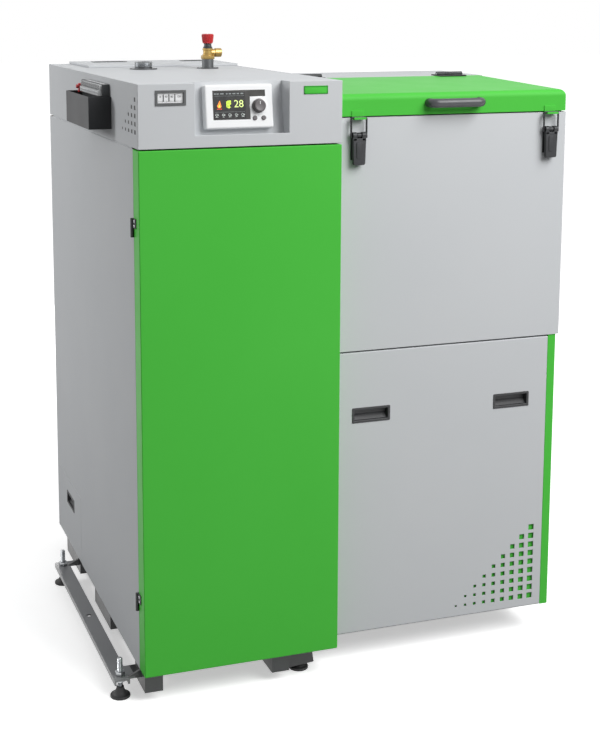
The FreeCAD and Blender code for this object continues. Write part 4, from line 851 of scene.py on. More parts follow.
@dataclass
class ControlPanel:
    """Controller on the tilted face: knob, two buttons and display. Places are right of and below the bezel's
    top left corner."""
    knob_at: Pair = (115.3, 45.6)
    knob_r: float = 14.4
    knob_height: float = 12.9
    knob_ribs: int = 36
    rib_depth: float = 0.7
    pointer: Triple = (1.2, 6.0, 0.5)
    collar_r: float = 19.4
    button_at: tuple[Pair, ...] = ((106.3, 70.5), (125.6, 70.5))
    button_r: float = 4.7
    button_height: float = 2.4
    field: tuple[float, float, float, float] = (18.6, 15.8, 87.0, 71.2)
    mark_depth: float = 0.25
    row_top: float = 19.4
    row_bottom: float = 63.2
    status: Pairs = ((22.0, 4.0), (28.0, 5.0), (37.0, 8.0), (47.5, 4.0), (54.5, 5.5), (63.0, 6.0),
                     (71.5, 5.0), (80.0, 6.0))
    status_mark: Pair = (2.2, 0.6)
    rule: Pair = (64.0, 0.4)
    rule_gaps: Pair = (4.4, 6.4)
    flame_at: Pair = (30.4, 44.0)
    bed_shifts: Triple = (-3.8, 0.0, 3.8)
    bed_drop: float = 6.6
    bed_mark: Triple = (3.2, 1.6, 0.6)
    gauge_at: Pair = (51.0, 41.0)
    gauge_bars: Pairs = ((12.0, 0.0), (16.0, 0.4), (17.0, 0.0), (8.0, -4.0))
    bar_places: Pair = (-4.4, 2.7)
    bar_width: float = 2.0
    bar_corner: float = 0.6
    cross_drops: Triple = (-5.2, 0.4, 5.8)
    cross_shift: float = -0.4
    cross_mark: Triple = (9.4, 1.3, 0.4)
    figures_at: Pair = (72.5, 41.0)
    figures_height: float = 15.0
    icons: int = 5
    icon_left: float = 24.0
    icon_pitch: float = 14.0

    def at(self, x: float, y: float, z: float = 0.0) -> Matrix:
        """Place on the bezel's face.

        Args:
            x, y: millimetres right of and below the bezel's top left corner.
            z: millimetres out of the face.
        Returns:
            The local frame there.
        """
        turn = next(entry for entry in frame["joints"] if entry["name"] == "knob_turn")
        face = facing(Vector(turn["pos_m"]), Vector(turn["axis"]))
        return face @ moved(x - self.knob_at[0], self.knob_at[1] - y, z)

    def mark(self, x: float, y: float, width: float, height: float, corner: float = 0.0) -> Shape:
        """Lit mark on the display, with its middle at x and y."""
        return slab((width, height, self.mark_depth), self.at(x, y), corner)

    def build(self) -> None:
        """Builds the knob, the buttons and what the display shows."""
        self.knob()
        r, h = self.button_r, self.button_height
        dome = [(0, -1.5), (r, -1.5), (r, h - 0.8), (r - 0.5, h - 0.2), (0.55 * r, h), (0, h - 0.25)]
        for side, spot in zip(("left", "right"), self.button_at):
            cap = Piece(f"{side}_button_cap", Finish.KNOB, f"{side}_button")
            cap.add(lathe(dome, self.at(*spot), 40)).place(f"button_{side}")
        self.screen()
        self.flame()
        self.readings()

    def knob(self) -> None:
        """Builds the ribbed knob with its skirt and pointer."""
        r, h = self.knob_r, self.knob_height
        at = self.at(*self.knob_at)
        profile = [(0, 0.4), (r, 0.4), (r, 2.4), (r - 1.2, 3.0), (r - 1.6, h - 2.0), (r - 2.6, h - 0.6),
                   (r - 4.2, h), (r - 5.4, h - 0.5), (0, h - 0.8)]
        grip = ribbed(profile, at, self.knob_ribs, 2, (2.8, h - 1.5), self.rib_depth)
        Piece("knob_grip", Finish.KNOB, "knob").add(grip).place("encoder_knob", smooth=50)
        Piece("knob_pointer", Finish.WHITE, "knob").add(
            slab(self.pointer, at @ moved(0, r - 8.5, h - 0.9), 0.5)).place()

    def screen(self) -> None:
        """Builds the display's black field, the collar round the knob, the status row and two rules."""
        left, top, right, bottom = self.field
        middle = (left + right) / 2
        cells = (right - left, bottom - top, self.mark_depth)
        Piece("display_field", Finish.LCD).add(
            slab(cells, self.at(middle, (top + bottom) / 2, -0.1), 0.6)).place()
        inner, outer = self.knob_r + 0.8, self.collar_r
        ring = [(inner, -0.5), (outer, -0.5), (outer, 0.3), (outer - 0.6, 0.7), (inner + 0.4, 0.7),
                (inner, 0.3), (inner, -0.5)]
        Piece("knob_collar", Finish.WHITE).add(lathe(ring, self.at(*self.knob_at), 64)).place()
        status = Piece("display_status_row", Finish.LIT_GREY)
        for x, width in self.status:
            status.add(self.mark(x, self.row_top, width, *self.status_mark))
        for y in (self.row_top + self.rule_gaps[0], self.row_bottom - self.rule_gaps[1]):
            status.add(self.mark(middle, y, *self.rule))
        status.place()

    def flame(self) -> None:
        """Builds the flame symbol: an orange drop with a yellow heart over a red bed."""
        x, y = self.flame_at
        for name, finish, radius, reach, drop, lift in (
                ("display_flame", Finish.LIT_ORANGE, 4.6, 6.0, 0.0, 0.0),
                ("display_flame_heart", Finish.LIT_LIME, 2.0, 2.6, 1.4, 0.15)):
            shape = disc(radius, 40)
            for vert in shape.verts:
                rise = max(0.0, vert.co.y) / (radius * MM)
                vert.co.y += reach * MM * rise ** 2.2
                vert.co.x = vert.co.x * (1 - 0.55 * rise) + 0.25 * radius * MM * rise ** 2
            extruded(shape, list(shape.faces), UP * self.mark_depth * MM)
            Piece(name, finish).add(settled(shape, self.at(x, y + drop, lift))).place()
        bed = Piece("display_fire_bed", Finish.LIT_RED)
        for shift in self.bed_shifts:
            bed.add(self.mark(x + shift, y + self.bed_drop, *self.bed_mark))
        bed.place()

    def readings(self) -> None:
        """Builds the lime radiator symbol, the figures and the row of round icons."""
        depth = self.mark_depth
        x, y = self.gauge_at
        gauge = Piece("display_gauge", Finish.LIT_LIME)
        first, pitch = self.bar_places
        for step, (tall, drop) in enumerate(self.gauge_bars):
            gauge.add(self.mark(x + first + pitch * step, y + drop, self.bar_width, tall, self.bar_corner))
        for drop in self.cross_drops:
            gauge.add(self.mark(x + self.cross_shift, y + drop, *self.cross_mark))
        gauge.place()
        Piece("display_figures", Finish.LIT_PALE).add(
            lettering("28", self.figures_height, depth, self.at(*self.figures_at, depth / 2))).place()
        icons = Piece("display_icons", Finish.LIT_WHITE)
        for step in range(self.icons):
            x, y, odd = self.icon_left + self.icon_pitch * step, self.row_bottom, step % 2
            r = 2.6 - 0.3 * odd
            ring = [(r - 0.6, 0), (r, 0), (r, depth), (r - 0.6, depth), (r - 0.6, 0)]
            icons.add(lathe(ring, self.at(x, y - 0.6), 20))
            icons.add(self.mark(x + r + 1.1, y - 0.8 + 0.4 * (step % 3), 0.7, 3.4, 0.2))
            icons.add(self.mark(x + 0.4, y + 3.6, 5.6 - 1.6 * odd, 0.6, 0.2))
        icons.place()


@dataclass
class HoodFittings:
    """Badge, thermometer face, connectors over the cable tray and dark sheets of painted shade in the side
    vents.
    What lies on the thermometer's face is placed by shares of its width and height. Each row of locks says
    how much narrower than the plug it is, its height, its rise, its corner and its edge."""
    badge_size: Triple = (53.0, 17.0, 1.2)
    badge_inset: Pair = (59.5, 18.5)
    badge_rim: float = 2.6
    gauge_rim: float = 5.3
    gauge_back: float = 4.4
    face_thick: float = 1.0
    bar_width: float = 2.0
    bar_shares: Triple = (-0.27, -0.05, 0.18)
    bar_height: float = 0.72
    bar_thick: float = 0.4
    bar_corner: float = 0.4
    scale_marks: int = 19
    scale_pitch: float = 0.05
    scale_drop: float = 0.34
    tick_width: float = 0.5
    ticks: Triple = (4.0, 2.6, 2.6)
    ink: float = 0.3
    figures: tuple[tuple[float, str], ...] = ((-0.39, "0"), (-0.16, "40"), (0.065, "80"), (0.33, "120"))
    figure_height: float = 4.0
    figure_rise: float = 0.12
    plug_pitch: float = 10.4
    plug_size: tuple[float, float, float, float] = (9.2, 11.0, 12.0, 6.0)
    plug_start: float = 6.0
    plug_margin: float = 26.0
    plug_step: float = 3.0
    plug_screw: Pair = (1.9, 0.9)
    plug_screw_rise: float = 0.8
    plug_edge: float = 0.8
    row_gap: float = 0.6
    locks: tuple[tuple[float, ...], ...] = ((3.0, 3.4, 2.4, 0.8, 0.4), (5.0, 3.0, -2.8, 0.6, 0.3))
    lock_thick: float = 1.0
    lid_size: Triple = (3.4, 9.0, 1.0)
    lid_shift: float = 2.6
    lid_inset: Pair = (8.0, 0.2)
    end_plug: Triple = (13.0, 20.0, 10.0)
    end_inset: Pair = (9.0, 18.0)
    vent_front: float = 25.0
    vent_low: float = 33.0
    vent_pitch: Pair = (27.0, 16.5)
    vent_size: Pair = (12.0, 9.0)
    vent_rows: int = 5
    vent_shrink: float = 0.1
    vent_depth: float = 0.9

    def build(self) -> None:
        """Builds all fittings of the hood."""
        self.badge()
        self.thermometer()
        self.connectors()
        self.vent_shade_sheets()

    def badge(self) -> None:
        """Builds the bare badge: a plate with a deeper green rim of four bars."""
        low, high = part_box("hood_fascia")
        inset_x, inset_y = self.badge_inset
        at = facing(Vector((high.x, low.y, high.z)), FRONT) @ moved(-inset_x, -inset_y)
        (width, height, thick), r = self.badge_size, self.badge_rim
        Piece("badge_plate", Finish.GREEN).add(slab((width, height, thick - 0.4), at, 1.2, 0.3)).place()
        rim = Piece("badge_rim", Finish.BADGE)
        for hand in (1, -1):
            rim.add(slab((width, r, thick), at @ moved(0, hand * (height - r) / 2), 0.8, 0.4))
        for hand in (1, -1):
            rim.add(slab((r, height, thick), at @ moved(hand * (width - r) / 2, 0), 0.8, 0.4))
        rim.place()

    def thermometer(self) -> None:
        """Builds the white face with its upright bars and fine scale."""
        low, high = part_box("thermometer")
        width, _, height = (high - low) / MM - Vector((2, 2, 2)) * self.gauge_rim
        middle = (low + high) / 2
        face = facing(Vector((middle.x, low.y + self.gauge_back * MM, middle.z)), FRONT)
        Piece("thermometer_face", Finish.WHITE).add(slab((width, height, self.face_thick), face, 1.5)).place()
        top = face @ moved(0, 0, self.face_thick)
        marks = Piece("thermometer_marks", Finish.BLACK)
        for share in self.bar_shares:
            bar = (self.bar_width, height * self.bar_height, self.bar_thick)
            marks.add(slab(bar, top @ moved(width * share, 0), self.bar_corner))
        for step in range(self.scale_marks):
            x = width * self.scale_pitch * (step - self.scale_marks // 2)
            tick = (self.tick_width, self.ticks[step % len(self.ticks)], self.ink)
            marks.add(slab(tick, top @ moved(x, -height * self.scale_drop)))
        for share, text in self.figures:
            spot = top @ moved(width * share, height * self.figure_rise, self.ink / 2)
            marks.add(lettering(text, self.figure_height, self.ink, spot))
        marks.place()

    def connectors(self) -> None:
        """Builds the plugs over the tray: a patterned upper row, a pale lower row and a red end plug."""
        low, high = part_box("terminal_block")
        pale = Piece("connector_plugs", Finish.TERMINAL)
        dark = Piece("connector_locks", Finish.BLACK)
        screws = Piece("connector_screws", Finish.STEEL)
        wide, upper, lower, deep = self.plug_size
        reach = deep + self.plug_step
        inset_x, inset_z = (inset * MM for inset in self.lid_inset)
        for step in range(int(((high.y - low.y) / MM - self.plug_margin) / self.plug_pitch)):
            y = low.y + (self.plug_start + self.plug_pitch * (step + 0.5)) * MM
            top = facing(Vector((low.x, y, high.z - (upper / 2 + 1) * MM)), LEFT)
            body, lock = (dark, pale) if step % 2 else (pale, dark)
            body.add(slab((wide, upper, deep), top, self.plug_edge, self.plug_edge))
            lid = facing(Vector((low.x + inset_x, y, high.z - inset_z)), UP, LEFT)
            for hand in (-1, 1):
                pale.add(slab(self.lid_size, lid @ moved(hand * self.lid_shift, 0), 0.6, 0.4))
            for less, tall, rise, corner, edge in self.locks:
                size = (wide - less, tall, self.lock_thick)
                lock.add(slab(size, top @ moved(0, rise, deep), corner, edge))
            row = top @ moved(0, -(upper + lower) / 2 - self.row_gap)
            pale.add(slab((wide, lower, reach), row, self.plug_edge, self.plug_edge))
            screws.add(screw_head(*self.plug_screw, row @ moved(0, self.plug_screw_rise, reach)))
        for piece in (pale, dark, screws):
            piece.place()
        end = facing(Vector((low.x, high.y, high.z)), LEFT) @ moved(self.end_inset[0], -self.end_inset[1])
        stem = [(0, 9.5), (4.2, 9.5), (4.2, 14.0), (3.4, 15.0), (0, 15.0)]
        Piece("connector_red", Finish.RED).add(slab(self.end_plug, end, 2.0, 1.2),
                                               lathe(stem, end @ moved(0, 3.0), 24)).place()

    def vent_shade_sheets(self) -> None:
        """Builds a dark sheet of painted shade just under the face of each stepped side vent, standing in for
        the shade inside the hood.
        """
        shell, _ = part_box("hood_shell")
        fascia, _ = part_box("hood_fascia")
        corner = facing(Vector((shell.x, fascia.y, fascia.z)), LEFT)
        # Each sheet is painted shade: a dark patch a little larger than its hole.
        mesh = Piece("vent_painted_shade", Finish.MESH)
        for column in range(self.vent_rows):
            wide, tall = (side * (1 - self.vent_shrink * column) + 0.4 for side in self.vent_size)
            back = self.vent_front + self.vent_pitch[0] * column
            for row in range(self.vent_rows - column):
                rise = self.vent_low + self.vent_pitch[1] * row
                mesh.add(slab((wide, tall, 0.4), corner @ moved(-back, rise, -self.vent_depth)))
        mesh.place()


@dataclass
class SafetyValve:
    """Safety valve on the hood: brass body with a side outlet, dark neck and a ribbed red cap. The thread of
    the flow socket beside it is placed from it."""
    hex_across: float = 29.4
    hex_height: float = 9.0
    body_r: float = 12.8
    body_height: float = 26.0
    outlet_r: float = 10.7
    outlet_reach: float = 33.7
    outlet_height: float = 15.5
    outlet_wall: float = 3.2
    neck_r: float = 9.5
    neck_height: float = 11.6
    ribs: int = 18
    rib_depth: float = 1.5
    flow_from_valve: Pair = (-159.0, 10.0)
    flow_r: float = 21.0
    flow_ridge: float = 1.4
    flow_sunk: float = 0.2
    flow_thread: Pair = (5.0, 17.2)
    flow_pitch: float = 3.0

    def build(self) -> None:
        """Builds the valve and the thread of the flow socket."""
        low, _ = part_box("safety_valve_body")
        cap_low, cap_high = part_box("safety_valve_cap")
        _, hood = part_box("hood_shell")
        middle = (cap_low + cap_high) / 2
        at = Matrix.Translation((middle.x, middle.y, low.z))
        self.brass(at)
        n, foot, top = self.neck_r, self.body_height, self.body_height + self.neck_height
        neck = [(0, foot), (n + 1.8, foot), (n + 1.8, foot + 3), (n, foot + 4.5), (n - 0.6, top - 1.6),
                (n + 0.6, top), (4.6, top), (0, top)]
        Piece("valve_dark_neck", Finish.BLACK).add(lathe(neck, at)).place()
        inner, (start, end) = self.flow_r - self.flow_sunk, self.flow_thread
        ridges = thread(self.flow_r + self.flow_ridge, self.flow_pitch, start, end)
        flow = Matrix.Translation((middle.x, middle.y, hood.z)) @ moved(*self.flow_from_valve)
        Piece("flow_socket_thread", Finish.STEEL).add(
            lathe([(inner, start), *ridges, (inner, end), (inner, start)], flow, 56)).place()
        width, _, height = (cap_high - cap_low) / MM
        self.cap(width / 2, height, Matrix.Translation((middle.x, middle.y, cap_low.z)))

    def brass(self, at: Matrix) -> None:
        """Builds the brass body: hexagon, turned barrel and the bored outlet at its right.

        Args:
            at: the place of the body's low middle.
        """
        r, tall, o, far = self.body_r, self.body_height, self.outlet_r, self.outlet_reach
        bore = o - self.outlet_wall
        barrel = [(0, 8.5), (r, 8.5), (r, 12.0), (r - 1.4, 13.0), (r - 1.4, 21.0), (r, 22.0), (r, tall - 0.8),
                  (r - 0.8, tall), (0, tall)]
        outlet = [(0, 0), (o - 1.8, 0), (o - 1.8, 17), (o, 18), (o, far - 1), (o - 1, far), (bore, far),
                  (bore, 20), (0, 20)]
        side = at @ moved(0, 0, self.outlet_height) @ Matrix.Rotation(QUARTER, 4, "Y")
        Piece("valve_brass_body", Finish.BRASS).add(
            hexagon(self.hex_across, self.hex_height, at), lathe(barrel, at, 56),
            lathe(outlet, side)).place("safety_valve_body")

    def cap(self, r: float, height: float, at: Matrix) -> None:
        """Builds the red cap with upright ribs.

        Args:
            r: outer radius in millimetres.
            height: height in millimetres.
            at: the place of the cap's low middle.
        """
        profile = [(0, 0.2), (r - 2.9, 0.2), (r - 2.4, 1.0), (r - 2.4, 3.0), (r - 1.7, 4.0),
                   (r, height - 4.0), (r - 0.6, height - 1.4), (r - 2.4, height - 0.2), (r - 4.4, height),
                   (0, height)]
        cap = ribbed(profile, at, self.ribs, 4, (3.5, height - 1.5), self.rib_depth)
        Piece("valve_red_cap", Finish.RED, "valve_cap").add(cap).place("safety_valve_cap", smooth=32)


@dataclass
class LevellingFeet:
    """Six screw feet: flared pad, threaded stud and a nut on each side of the steel. Each row has its x and
    two y from the low corner of the feet's box, and the heights of lower nut, upper nut and stud top."""
    rows: tuple[tuple[float, Pair, Triple], ...] = (
        (22.0, (22.0, 656.0), (34.0, 48.0, 88.8)),
        (433.0, (22.0, 656.0), (38.0, 52.0, 61.8)),
        (1011.0, (236.0, 596.0), (60.0, 72.0, 81.8)),
    )
    nut_height: float = 9.9
    nut_across: float = 18.9
    nut_gap: float = 0.05
    pad_r: float = 21.8
    pad_height: float = 23.8
    stud_r: float = 5.9
    stud_sunk: float = 4.0
    tip: float = 1.6
    pitch: float = 2.0

    def build(self) -> None:
        """Builds the pads, studs and nuts of all feet."""
        low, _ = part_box("levelling_feet")
        pads = Piece("feet_pads", Finish.RUBBER)
        studs = Piece("feet_studs", Finish.STEEL)
        nuts = Piece("feet_nuts", Finish.STEEL)
        r, h = self.pad_r, self.pad_height
        pad = [(0, 0), (r - 0.8, 0), (r, 0.8), (r, 4.6), (r - 0.9, 5.8), (r - 4.6, 6.4), (r - 9.0, 10.0),
               (8.6, h - 5.0), (8.2, h - 0.8), (7.4, h), (0, h)]
        foot = h - self.stud_sunk
        for x, places, (under, over, top) in self.rows:
            shank = thread(self.stud_r, self.pitch, foot, top - self.tip)
            for y in places:
                at = Matrix.Translation(low) @ moved(x, y)
                pads.add(lathe(pad, at, 56))
                studs.add(lathe([(0, foot), *shank, (self.stud_r - 2.1, top), (0, top)], at, 28))
                for base in (under, over):
                    nuts.add(hexagon(self.nut_across, self.nut_height, at @ moved(0, 0, base + self.nut_gap)))
        pads.place("levelling_feet")
        studs.place(smooth=25)
        nuts.place(smooth=25)


@dataclass
class FlushPull:
    """Moulded flush pull: a rounded frame on the sheet and a finger hollow that ramps out to its foot."""
    width: float = 92.0
    height: float = 35.0
    play: float = 0.2
    rim: float = 5.5
    proud: float = 1.2
    hollow: float = 14.4
    ramp: float = 0.72
    corner: float = 2.6
    corner_steps: int = 5
    wall: float = 1.3
    easing: float = 0.5
    seat: float = 0.05

    def outline(self, half: Vector, corner: float) -> list[Pair]:
        """Rounded outline that starts in the middle of the right side.

        Args:
            half: half of the width and height in millimetres.
            corner: radius of the corners in millimetres.
        Returns:
            Points in millimetres, anticlockwise, with one in the middle of each upright side.
        """
        turns = []
        for quarter, (side, end) in enumerate(((1, 1), (-1, 1), (-1, -1), (1, -1))):
            for step in range(self.corner_steps + 1):
                angle = (quarter + step / self.corner_steps) * QUARTER
                turns.append((side * (half.x - corner) + corner * math.cos(angle),
                              end * (half.y - corner) + corner * math.sin(angle)))
        top = len(turns) // 2
        return [(half.x, 0.0), *turns[:top], (-half.x, 0.0), *turns[top:]]

    def build(self, name: str, at: Matrix, body: str, *replaced: str) -> None:
        """Builds one pull: loops from the back of its cup round the frame to the hollow's floor, bridged.

        Args:
            name: the piece's name.
            at: the place of its middle on the panel's face.
            body: the CAD body it rides.
            replaced: the CAD nodes it stands for.
        """
        one, c = Vector((1, 1)), self.corner
        half = Vector((self.width, self.height)) / 2 - one * self.play
        inner, easing = half - one * self.rim, one * self.easing
        cup, floor = inner + one * self.wall, inner - easing
        shape = bmesh.new()
        rows, loops = [], []
        for size, corner, z in ((cup, 0.5 * c, -self.hollow - self.wall), (cup, 0.5 * c, self.seat),
                                (half, c, self.seat), (half, c, self.proud - self.easing),
                                (half - easing, c - self.easing, self.proud),
                                (inner + 2 * easing, 0.5 * c, self.proud), (inner, 0.4 * c, self.proud - 0.9),
                                (floor, 0.3 * c, -self.hollow)):
            row = [shape.verts.new((x * MM, y * MM, z * MM)) for x, y in self.outline(size, corner)]
            rows.append(row)
            loops.append([shape.edges.new(pair) for pair in zip(row, row[1:] + row[:1])])
        for loop, following in zip(loops, loops[1:]):
            bmesh.ops.bridge_loops(shape, edges=loop + following)
        for vert in rows[-1]:
            vert.co.z += max(0.0, -vert.co.y / (floor.y * MM)) * self.ramp * self.hollow * MM
        last, middle = rows[-1], len(rows[-1]) // 2
        for outline in (rows[0], last[:middle + 1], last[middle:] + last[:1]):
            shape.faces.new(outline)
        Piece(name, Finish.PULL, body).add(settled(shape, at)).place(*replaced, smooth=30)


@dataclass
class Hopper:
    """Lid handle, draw latches, flush pulls and the green plate behind the square vents."""
    tube_bend: float = 12.5
    tube_play: float = 0.1
    backing: Triple = (236.0, 236.0, 1.0)
    backing_gap: float = 5.0
    backing_inset: Pair = (18.0, 14.0)
    lever_low: float = 0.88
    lever_gap: float = 1.6
    lever_play: float = 0.2
    lever_edge: float = 1.2
    lever_corner: float = 4.0
    lever_share: float = 0.55
    roll_play: float = 0.1
    rib_thick: float = 1.4
    rib_sunk: float = 1.7
    rib_drop: float = 4.0
    rib_edge: float = 0.9
    cheek_overlap: float = 6.0
    ear_slot: float = 11.0
    ear_drop: float = 6.0
    bail_r: float = 2.1
    bail_bend: float = 4.0

    def build(self) -> None:
        """Builds the hopper's fine pieces."""
        self.handle()
        for side in ("left", "right"):
            self.lever(side)
            self.bail(side)
        self.pulls()

    def handle(self) -> None:
        """Builds the bow handle of the lid as a bent, closed tube with a collar at each end."""
        low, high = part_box("lid_handle")
        play, bend = self.tube_play * MM, self.tube_bend * MM
        r = (high.z - low.z) / 2 - play
        z = (low.z + high.z) / 2
        ends = (low.x + r + play, high.x - r - play)
        foot = high.y - 2 * play
        straight = foot - (low.y + r + play) - bend
        across = ends[1] - ends[0] - 2 * bend
        rod = bent_rod(r, Vector((ends[0], foot, z)), FRONT, UP, (straight, across, straight), bend)
        Piece("lid_bow_handle", Finish.HANDLE, "lid").add(rod).place("lid_handle")
        inner, outer = r / MM - 2, r / MM + 0.05
        ring = [(inner, 0.1), (outer, 0.1), (outer, 1.6), (outer - 0.65, 2.4), (inner, 2.4), (inner, 0.1)]
        collars = Piece("lid_handle_collars", Finish.BLACK, "lid")
        for x in ends:
            collars.add(lathe(ring, facing(Vector((x, high.y - play / 2, z)), FRONT), 36))
        collars.place()

    def lever(self, side: str) -> None:
        """Builds one pressed latch lever: a ribbed plate and two rolled cheeks with room for the base's ear.

        Args:
            side: left or right.
        """
        low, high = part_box(f"lever_{side}")
        width, deep, tall = (high - low) / MM
        middle = (low + high) / 2
        face = facing(Vector((middle.x, high.y, middle.z)), FRONT)
        r, thick, play = deep / 2 - self.roll_play, self.lever_share * deep, self.lever_play
        pivot, back = (tall - deep) / 2, deep - thick - self.lever_gap
        top = pivot - self.ear_drop
        plate, rib = (width - 2 * play, top + tall / 2 - play, thick), (width / 2, tall / 2, self.rib_thick)
        shapes = [slab(plate, face @ moved(0, (top - tall / 2) / 2, back), self.lever_corner, self.lever_edge,
                       self.lever_low),
                  slab(rib, face @ moved(0, -self.rib_drop, deep - self.rib_sunk), self.lever_corner,
                       self.rib_edge, self.lever_low)]
        cheek, overlap = (width - self.ear_slot) / 2, self.ear_drop + self.cheek_overlap
        end = cheek - 2 * play
        roll = [(0, 0), (r - 0.8, 0), (r, 0.8), (r, end - 0.8), (r - 0.8, end), (0, end)]
        for hand in (-1, 1):
            x = hand * (width - cheek) / 2
            spot = face @ moved(x, pivot - overlap / 2, back)
            barrel = face @ moved(x - end / 2, pivot, deep / 2) @ Matrix.Rotation(QUARTER, 4, "Y")
            shapes += [slab((end, overlap, thick), spot, 0.0, self.lever_edge), lathe(roll, barrel, 40)]
        Piece(f"latch_lever_{side}", Finish.HARDWARE, f"{side}_lever").add(*shapes).place(f"lever_{side}")

    def bail(self, side: str) -> None:
        """Builds one wire bail that runs from the lever up round the lid's hook.

        Args:
            side: left or right.
        """
        low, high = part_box(f"bail_{side}")
        thin, bend = (high.y - low.y) / 2, self.bail_bend * MM
        leg = high.z - low.z - 2 * thin - bend
        start = Vector((high.x - thin, low.y + thin, low.z + thin))
        wire = bent_rod(self.bail_r * MM, start, UP, FRONT,
                        (leg, high.x - low.x - 2 * thin - 2 * bend, leg), bend)
        Piece(f"latch_bail_{side}", Finish.WIRE, f"{side}_bail").add(wire).place(f"bail_{side}")

    def pulls(self) -> None:
        """Builds the two pulls of the service panel and the plate behind its vents."""
        low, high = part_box("access_panel")
        pull_low, pull_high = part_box("panel_pulls")
        maker = FlushPull()
        half, z = maker.width / 2 * MM, (pull_low.z + pull_high.z) / 2
        for name, x, replaced in (("panel_pull_left", pull_low.x + half, ["panel_pulls"]),
                                  ("panel_pull_right", pull_high.x - half, [])):
            maker.build(name, facing(Vector((x, low.y, z)), FRONT), "service_panel", *replaced)
        (wide, tall, thick), (inset_x, inset_y) = self.backing, self.backing_inset
        at = facing(Vector((high.x, low.y, low.z)), FRONT) @ moved(
            -inset_x - wide / 2, inset_y + tall / 2, -self.backing_gap - thick)
        Piece("vent_backing", Finish.GREEN, "service_panel").add(slab(self.backing, at, 3.0)).place()


@dataclass
class Casing:
    """The side cover's pull, the door's heat shield, and the screws of hinges, shield and rear wall. A
    leaf's screws and the shield's are placed by shares of its size."""
    screw_r: float = 4.0
    screw_height: float = 2.2
    rear_inset: float = 14.0
    rear_rows: int = 5
    hinge_screw: Pair = (3.0, 1.4)
    leaf_size: Triple = (2.0, 22.0, 20.0)
    leaf_screw_depth: float = 0.38
    leaf_screw_rises: Pair = (-0.25, 0.25)
    shield_inset: float = 42.0
    shield_thick: float = 0.8
    shield_screw_inset: float = 30.0
    shield_screw_height: float = 0.9
    shield_columns: Pair = (-0.5, 0.5)
    shield_rows: tuple[float, ...] = (-0.5, -0.17, 0.17, 0.5)

    def build(self) -> None:
        """Builds the side pull, the screws and the heat shield."""
        cover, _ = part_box("side_service_cover")
        pull_low, pull_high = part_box("side_cover_pull")
        middle = (pull_low + pull_high) / 2
        FlushPull().build("side_pull", facing(Vector((cover.x, middle.y, middle.z)), LEFT), "side_cover",
                          "side_cover_pull")
        self.hinge_screws()
        self.heat_shield()
        self.rear_screws()

    def hinge_screws(self) -> None:
        """Builds the plated screws in the door's hinge leaves."""
        low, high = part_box("door_hinge_leaves")
        door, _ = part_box("front_door")
        screws = Piece("door_hinge_screws", Finish.STEEL, "door")
        thick, deep, tall = (side * MM for side in self.leaf_size)
        for middle in (low.z + tall / 2, high.z - tall / 2):
            for rise in self.leaf_screw_rises:
                spot = Vector((door.x - thick, low.y + self.leaf_screw_depth * deep, middle + rise * tall))
                screws.add(screw_head(*self.hinge_screw, facing(spot, LEFT)))
        screws.place()

    def heat_shield(self) -> None:
        """Builds the heat shield on the door's inner face, with its screws."""
        low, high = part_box("front_door")
        middle, inset, thick = (low + high) / 2, self.shield_inset, self.shield_thick
        face = facing(Vector((middle.x, high.y, middle.z)), BACK)
        width, _, height = (high - low) / MM - Vector((2, 2, 2)) * inset
        sheet = slab((width, height, thick), face, 6.0, 0.3)
        Piece("door_heat_shield", Finish.SHEET, "door").add(sheet).place()
        screws = Piece("door_shield_screws", Finish.STEEL, "door")
        for across in self.shield_columns:
            for rise in self.shield_rows:
                spot = face @ moved(across * (width - self.shield_screw_inset),
                                    rise * (height - self.shield_screw_inset), thick)
                screws.add(screw_head(self.screw_r, self.shield_screw_height, spot))
        screws.place()

    def rear_screws(self) -> None:
        """Builds the two rows of screws in the rear wall."""
        low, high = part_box("rear_panel")
        inset = self.rear_inset * MM
        pitch = (high.z - low.z - 2 * inset) / (self.rear_rows - 1)
        screws = Piece("rear_screws", Finish.STEEL)
        for row in range(self.rear_rows):
            for x in (low.x + inset, high.x - inset):
                spot = facing(Vector((x, high.y, low.z + inset + pitch * row)), BACK)
                screws.add(screw_head(self.screw_r, self.screw_height, spot))
        screws.place()


# Studio


@dataclass
class SoftLight:
    """One soft area light aimed at the object."""
    name: str
    at: Triple
    size: float
    watts: float

    def build(self, aim: Vector) -> bpy.types.Object:
        """Builds the light.

        Args:
            aim: the point it faces.
        Returns:
            The light's object.
        """
        data = bpy.data.lights.new(self.name, "AREA")
        data.shape = "SQUARE"
        data.size = self.size
        data.energy = self.watts
        made = bpy.data.objects.new(self.name, data)
        made.location = self.at
        made.rotation_euler = (aim - Vector(self.at)).to_track_quat("-Z", "Y").to_euler()
        return in_scene(made)


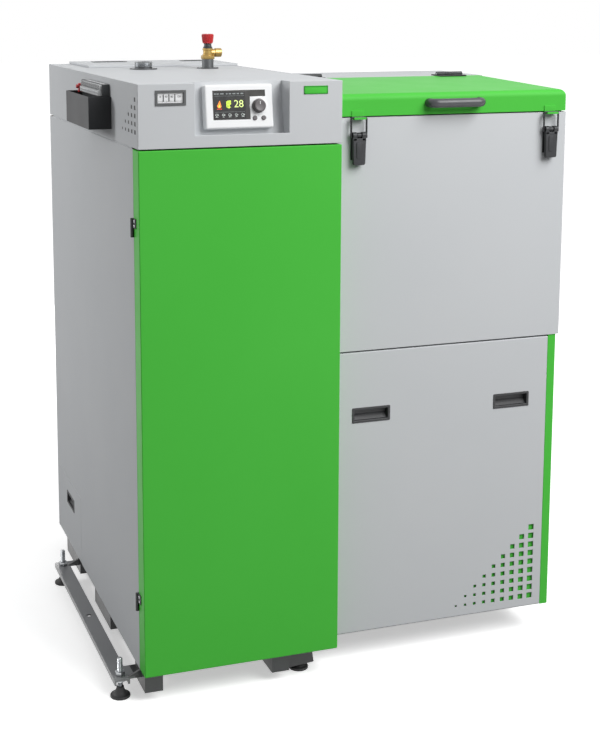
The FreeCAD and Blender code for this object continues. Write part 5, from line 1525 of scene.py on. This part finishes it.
@dataclass
class Studio:
    """Camera at the photo's place, soft lights, pale floor and white background."""
    camera_at: Triple = (-1.1528, -3.2495, 1.4899)
    yaw_deg: float = 18.92
    pitch_deg: float = 8.84
    lens_mm: float = 69.65
    sensor_mm: Pair = (28.8, 36.0)
    shift: Pair = (0.0558, -0.2)
    floor_m: float = 60.0
    ambient: float = 0.33
    lights: tuple[SoftLight, ...] = (
        SoftLight("key_light", (1.7, -2.9, 3.5), 2.8, 186.0),
        SoftLight("top_light", (0.0, 0.0, 3.8), 2.6, 3.0),
        SoftLight("left_light", (-2.5, 1.1, 2.0), 0.8, 28.0),
        SoftLight("rear_light", (0.6, 3.4, 0.9), 1.4, 24.0),
    )

    def build(self) -> None:
        """Builds the whole studio."""
        scene = bpy.context.scene
        data = bpy.data.cameras.new("photo_camera")
        data.lens = self.lens_mm
        data.sensor_fit = "VERTICAL"
        data.sensor_width, data.sensor_height = self.sensor_mm
        data.shift_x, data.shift_y = self.shift
        camera = in_scene(bpy.data.objects.new("photo_camera", data))
        camera.location = self.camera_at
        camera.rotation_euler = (math.radians(90 - self.pitch_deg), 0, -math.radians(self.yaw_deg))
        scene.camera = camera
        low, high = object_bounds()
        aim = (Vector(low) + Vector(high)) / 2
        made = [light.build(aim) for light in self.lights]
        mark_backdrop(self.floor(), *made)
        self.background()
        scene.view_settings.view_transform = "Standard"
        LOG.info("studio: %d lights", len(made))

    def floor(self) -> bpy.types.Object:
        """Builds the pale floor.

        Returns:
            The floor's object.
        """
        shape = bmesh.new()
        bmesh.ops.create_grid(shape, x_segments=4, y_segments=4, size=self.floor_m / 2)
        mesh = bpy.data.meshes.new("studio_floor")
        shape.to_mesh(mesh)
        shape.free()
        mesh.materials.append(StudioFloor().material())
        return in_scene(bpy.data.objects.new("studio_floor", mesh))

    def background(self) -> None:
        """Builds the world: white where it is seen or mirrored, softer where it lights."""
        world = bpy.data.worlds.new("white_studio")
        world.use_nodes = True
        tree = world.node_tree
        tree.nodes.clear()
        inputs = {"Value": seen_ray(tree), "To Min": self.ambient, "To Max": 1.0}
        strength = add(tree, "MapRange", inputs)["Result"]
        sky = add(tree, "Background", {"Color": (1, 1, 1, 1), "Strength": strength})["Background"]
        add(tree, "OutputWorld", {"Surface": sky})
        bpy.context.scene.world = world


def main() -> None:
    """Dresses the frame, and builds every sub-assembly and the studio."""
    logging.basicConfig(level=logging.INFO, format="%(name)s: %(message)s")
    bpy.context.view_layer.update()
    CadNodes().dress()
    for maker in (ControlPanel(), HoodFittings(), SafetyValve(), LevellingFeet(), Hopper(), Casing()):
        maker.build()
        LOG.info("built %s", type(maker).__name__)
    Studio().build()


if __name__ == "__main__":
    main()
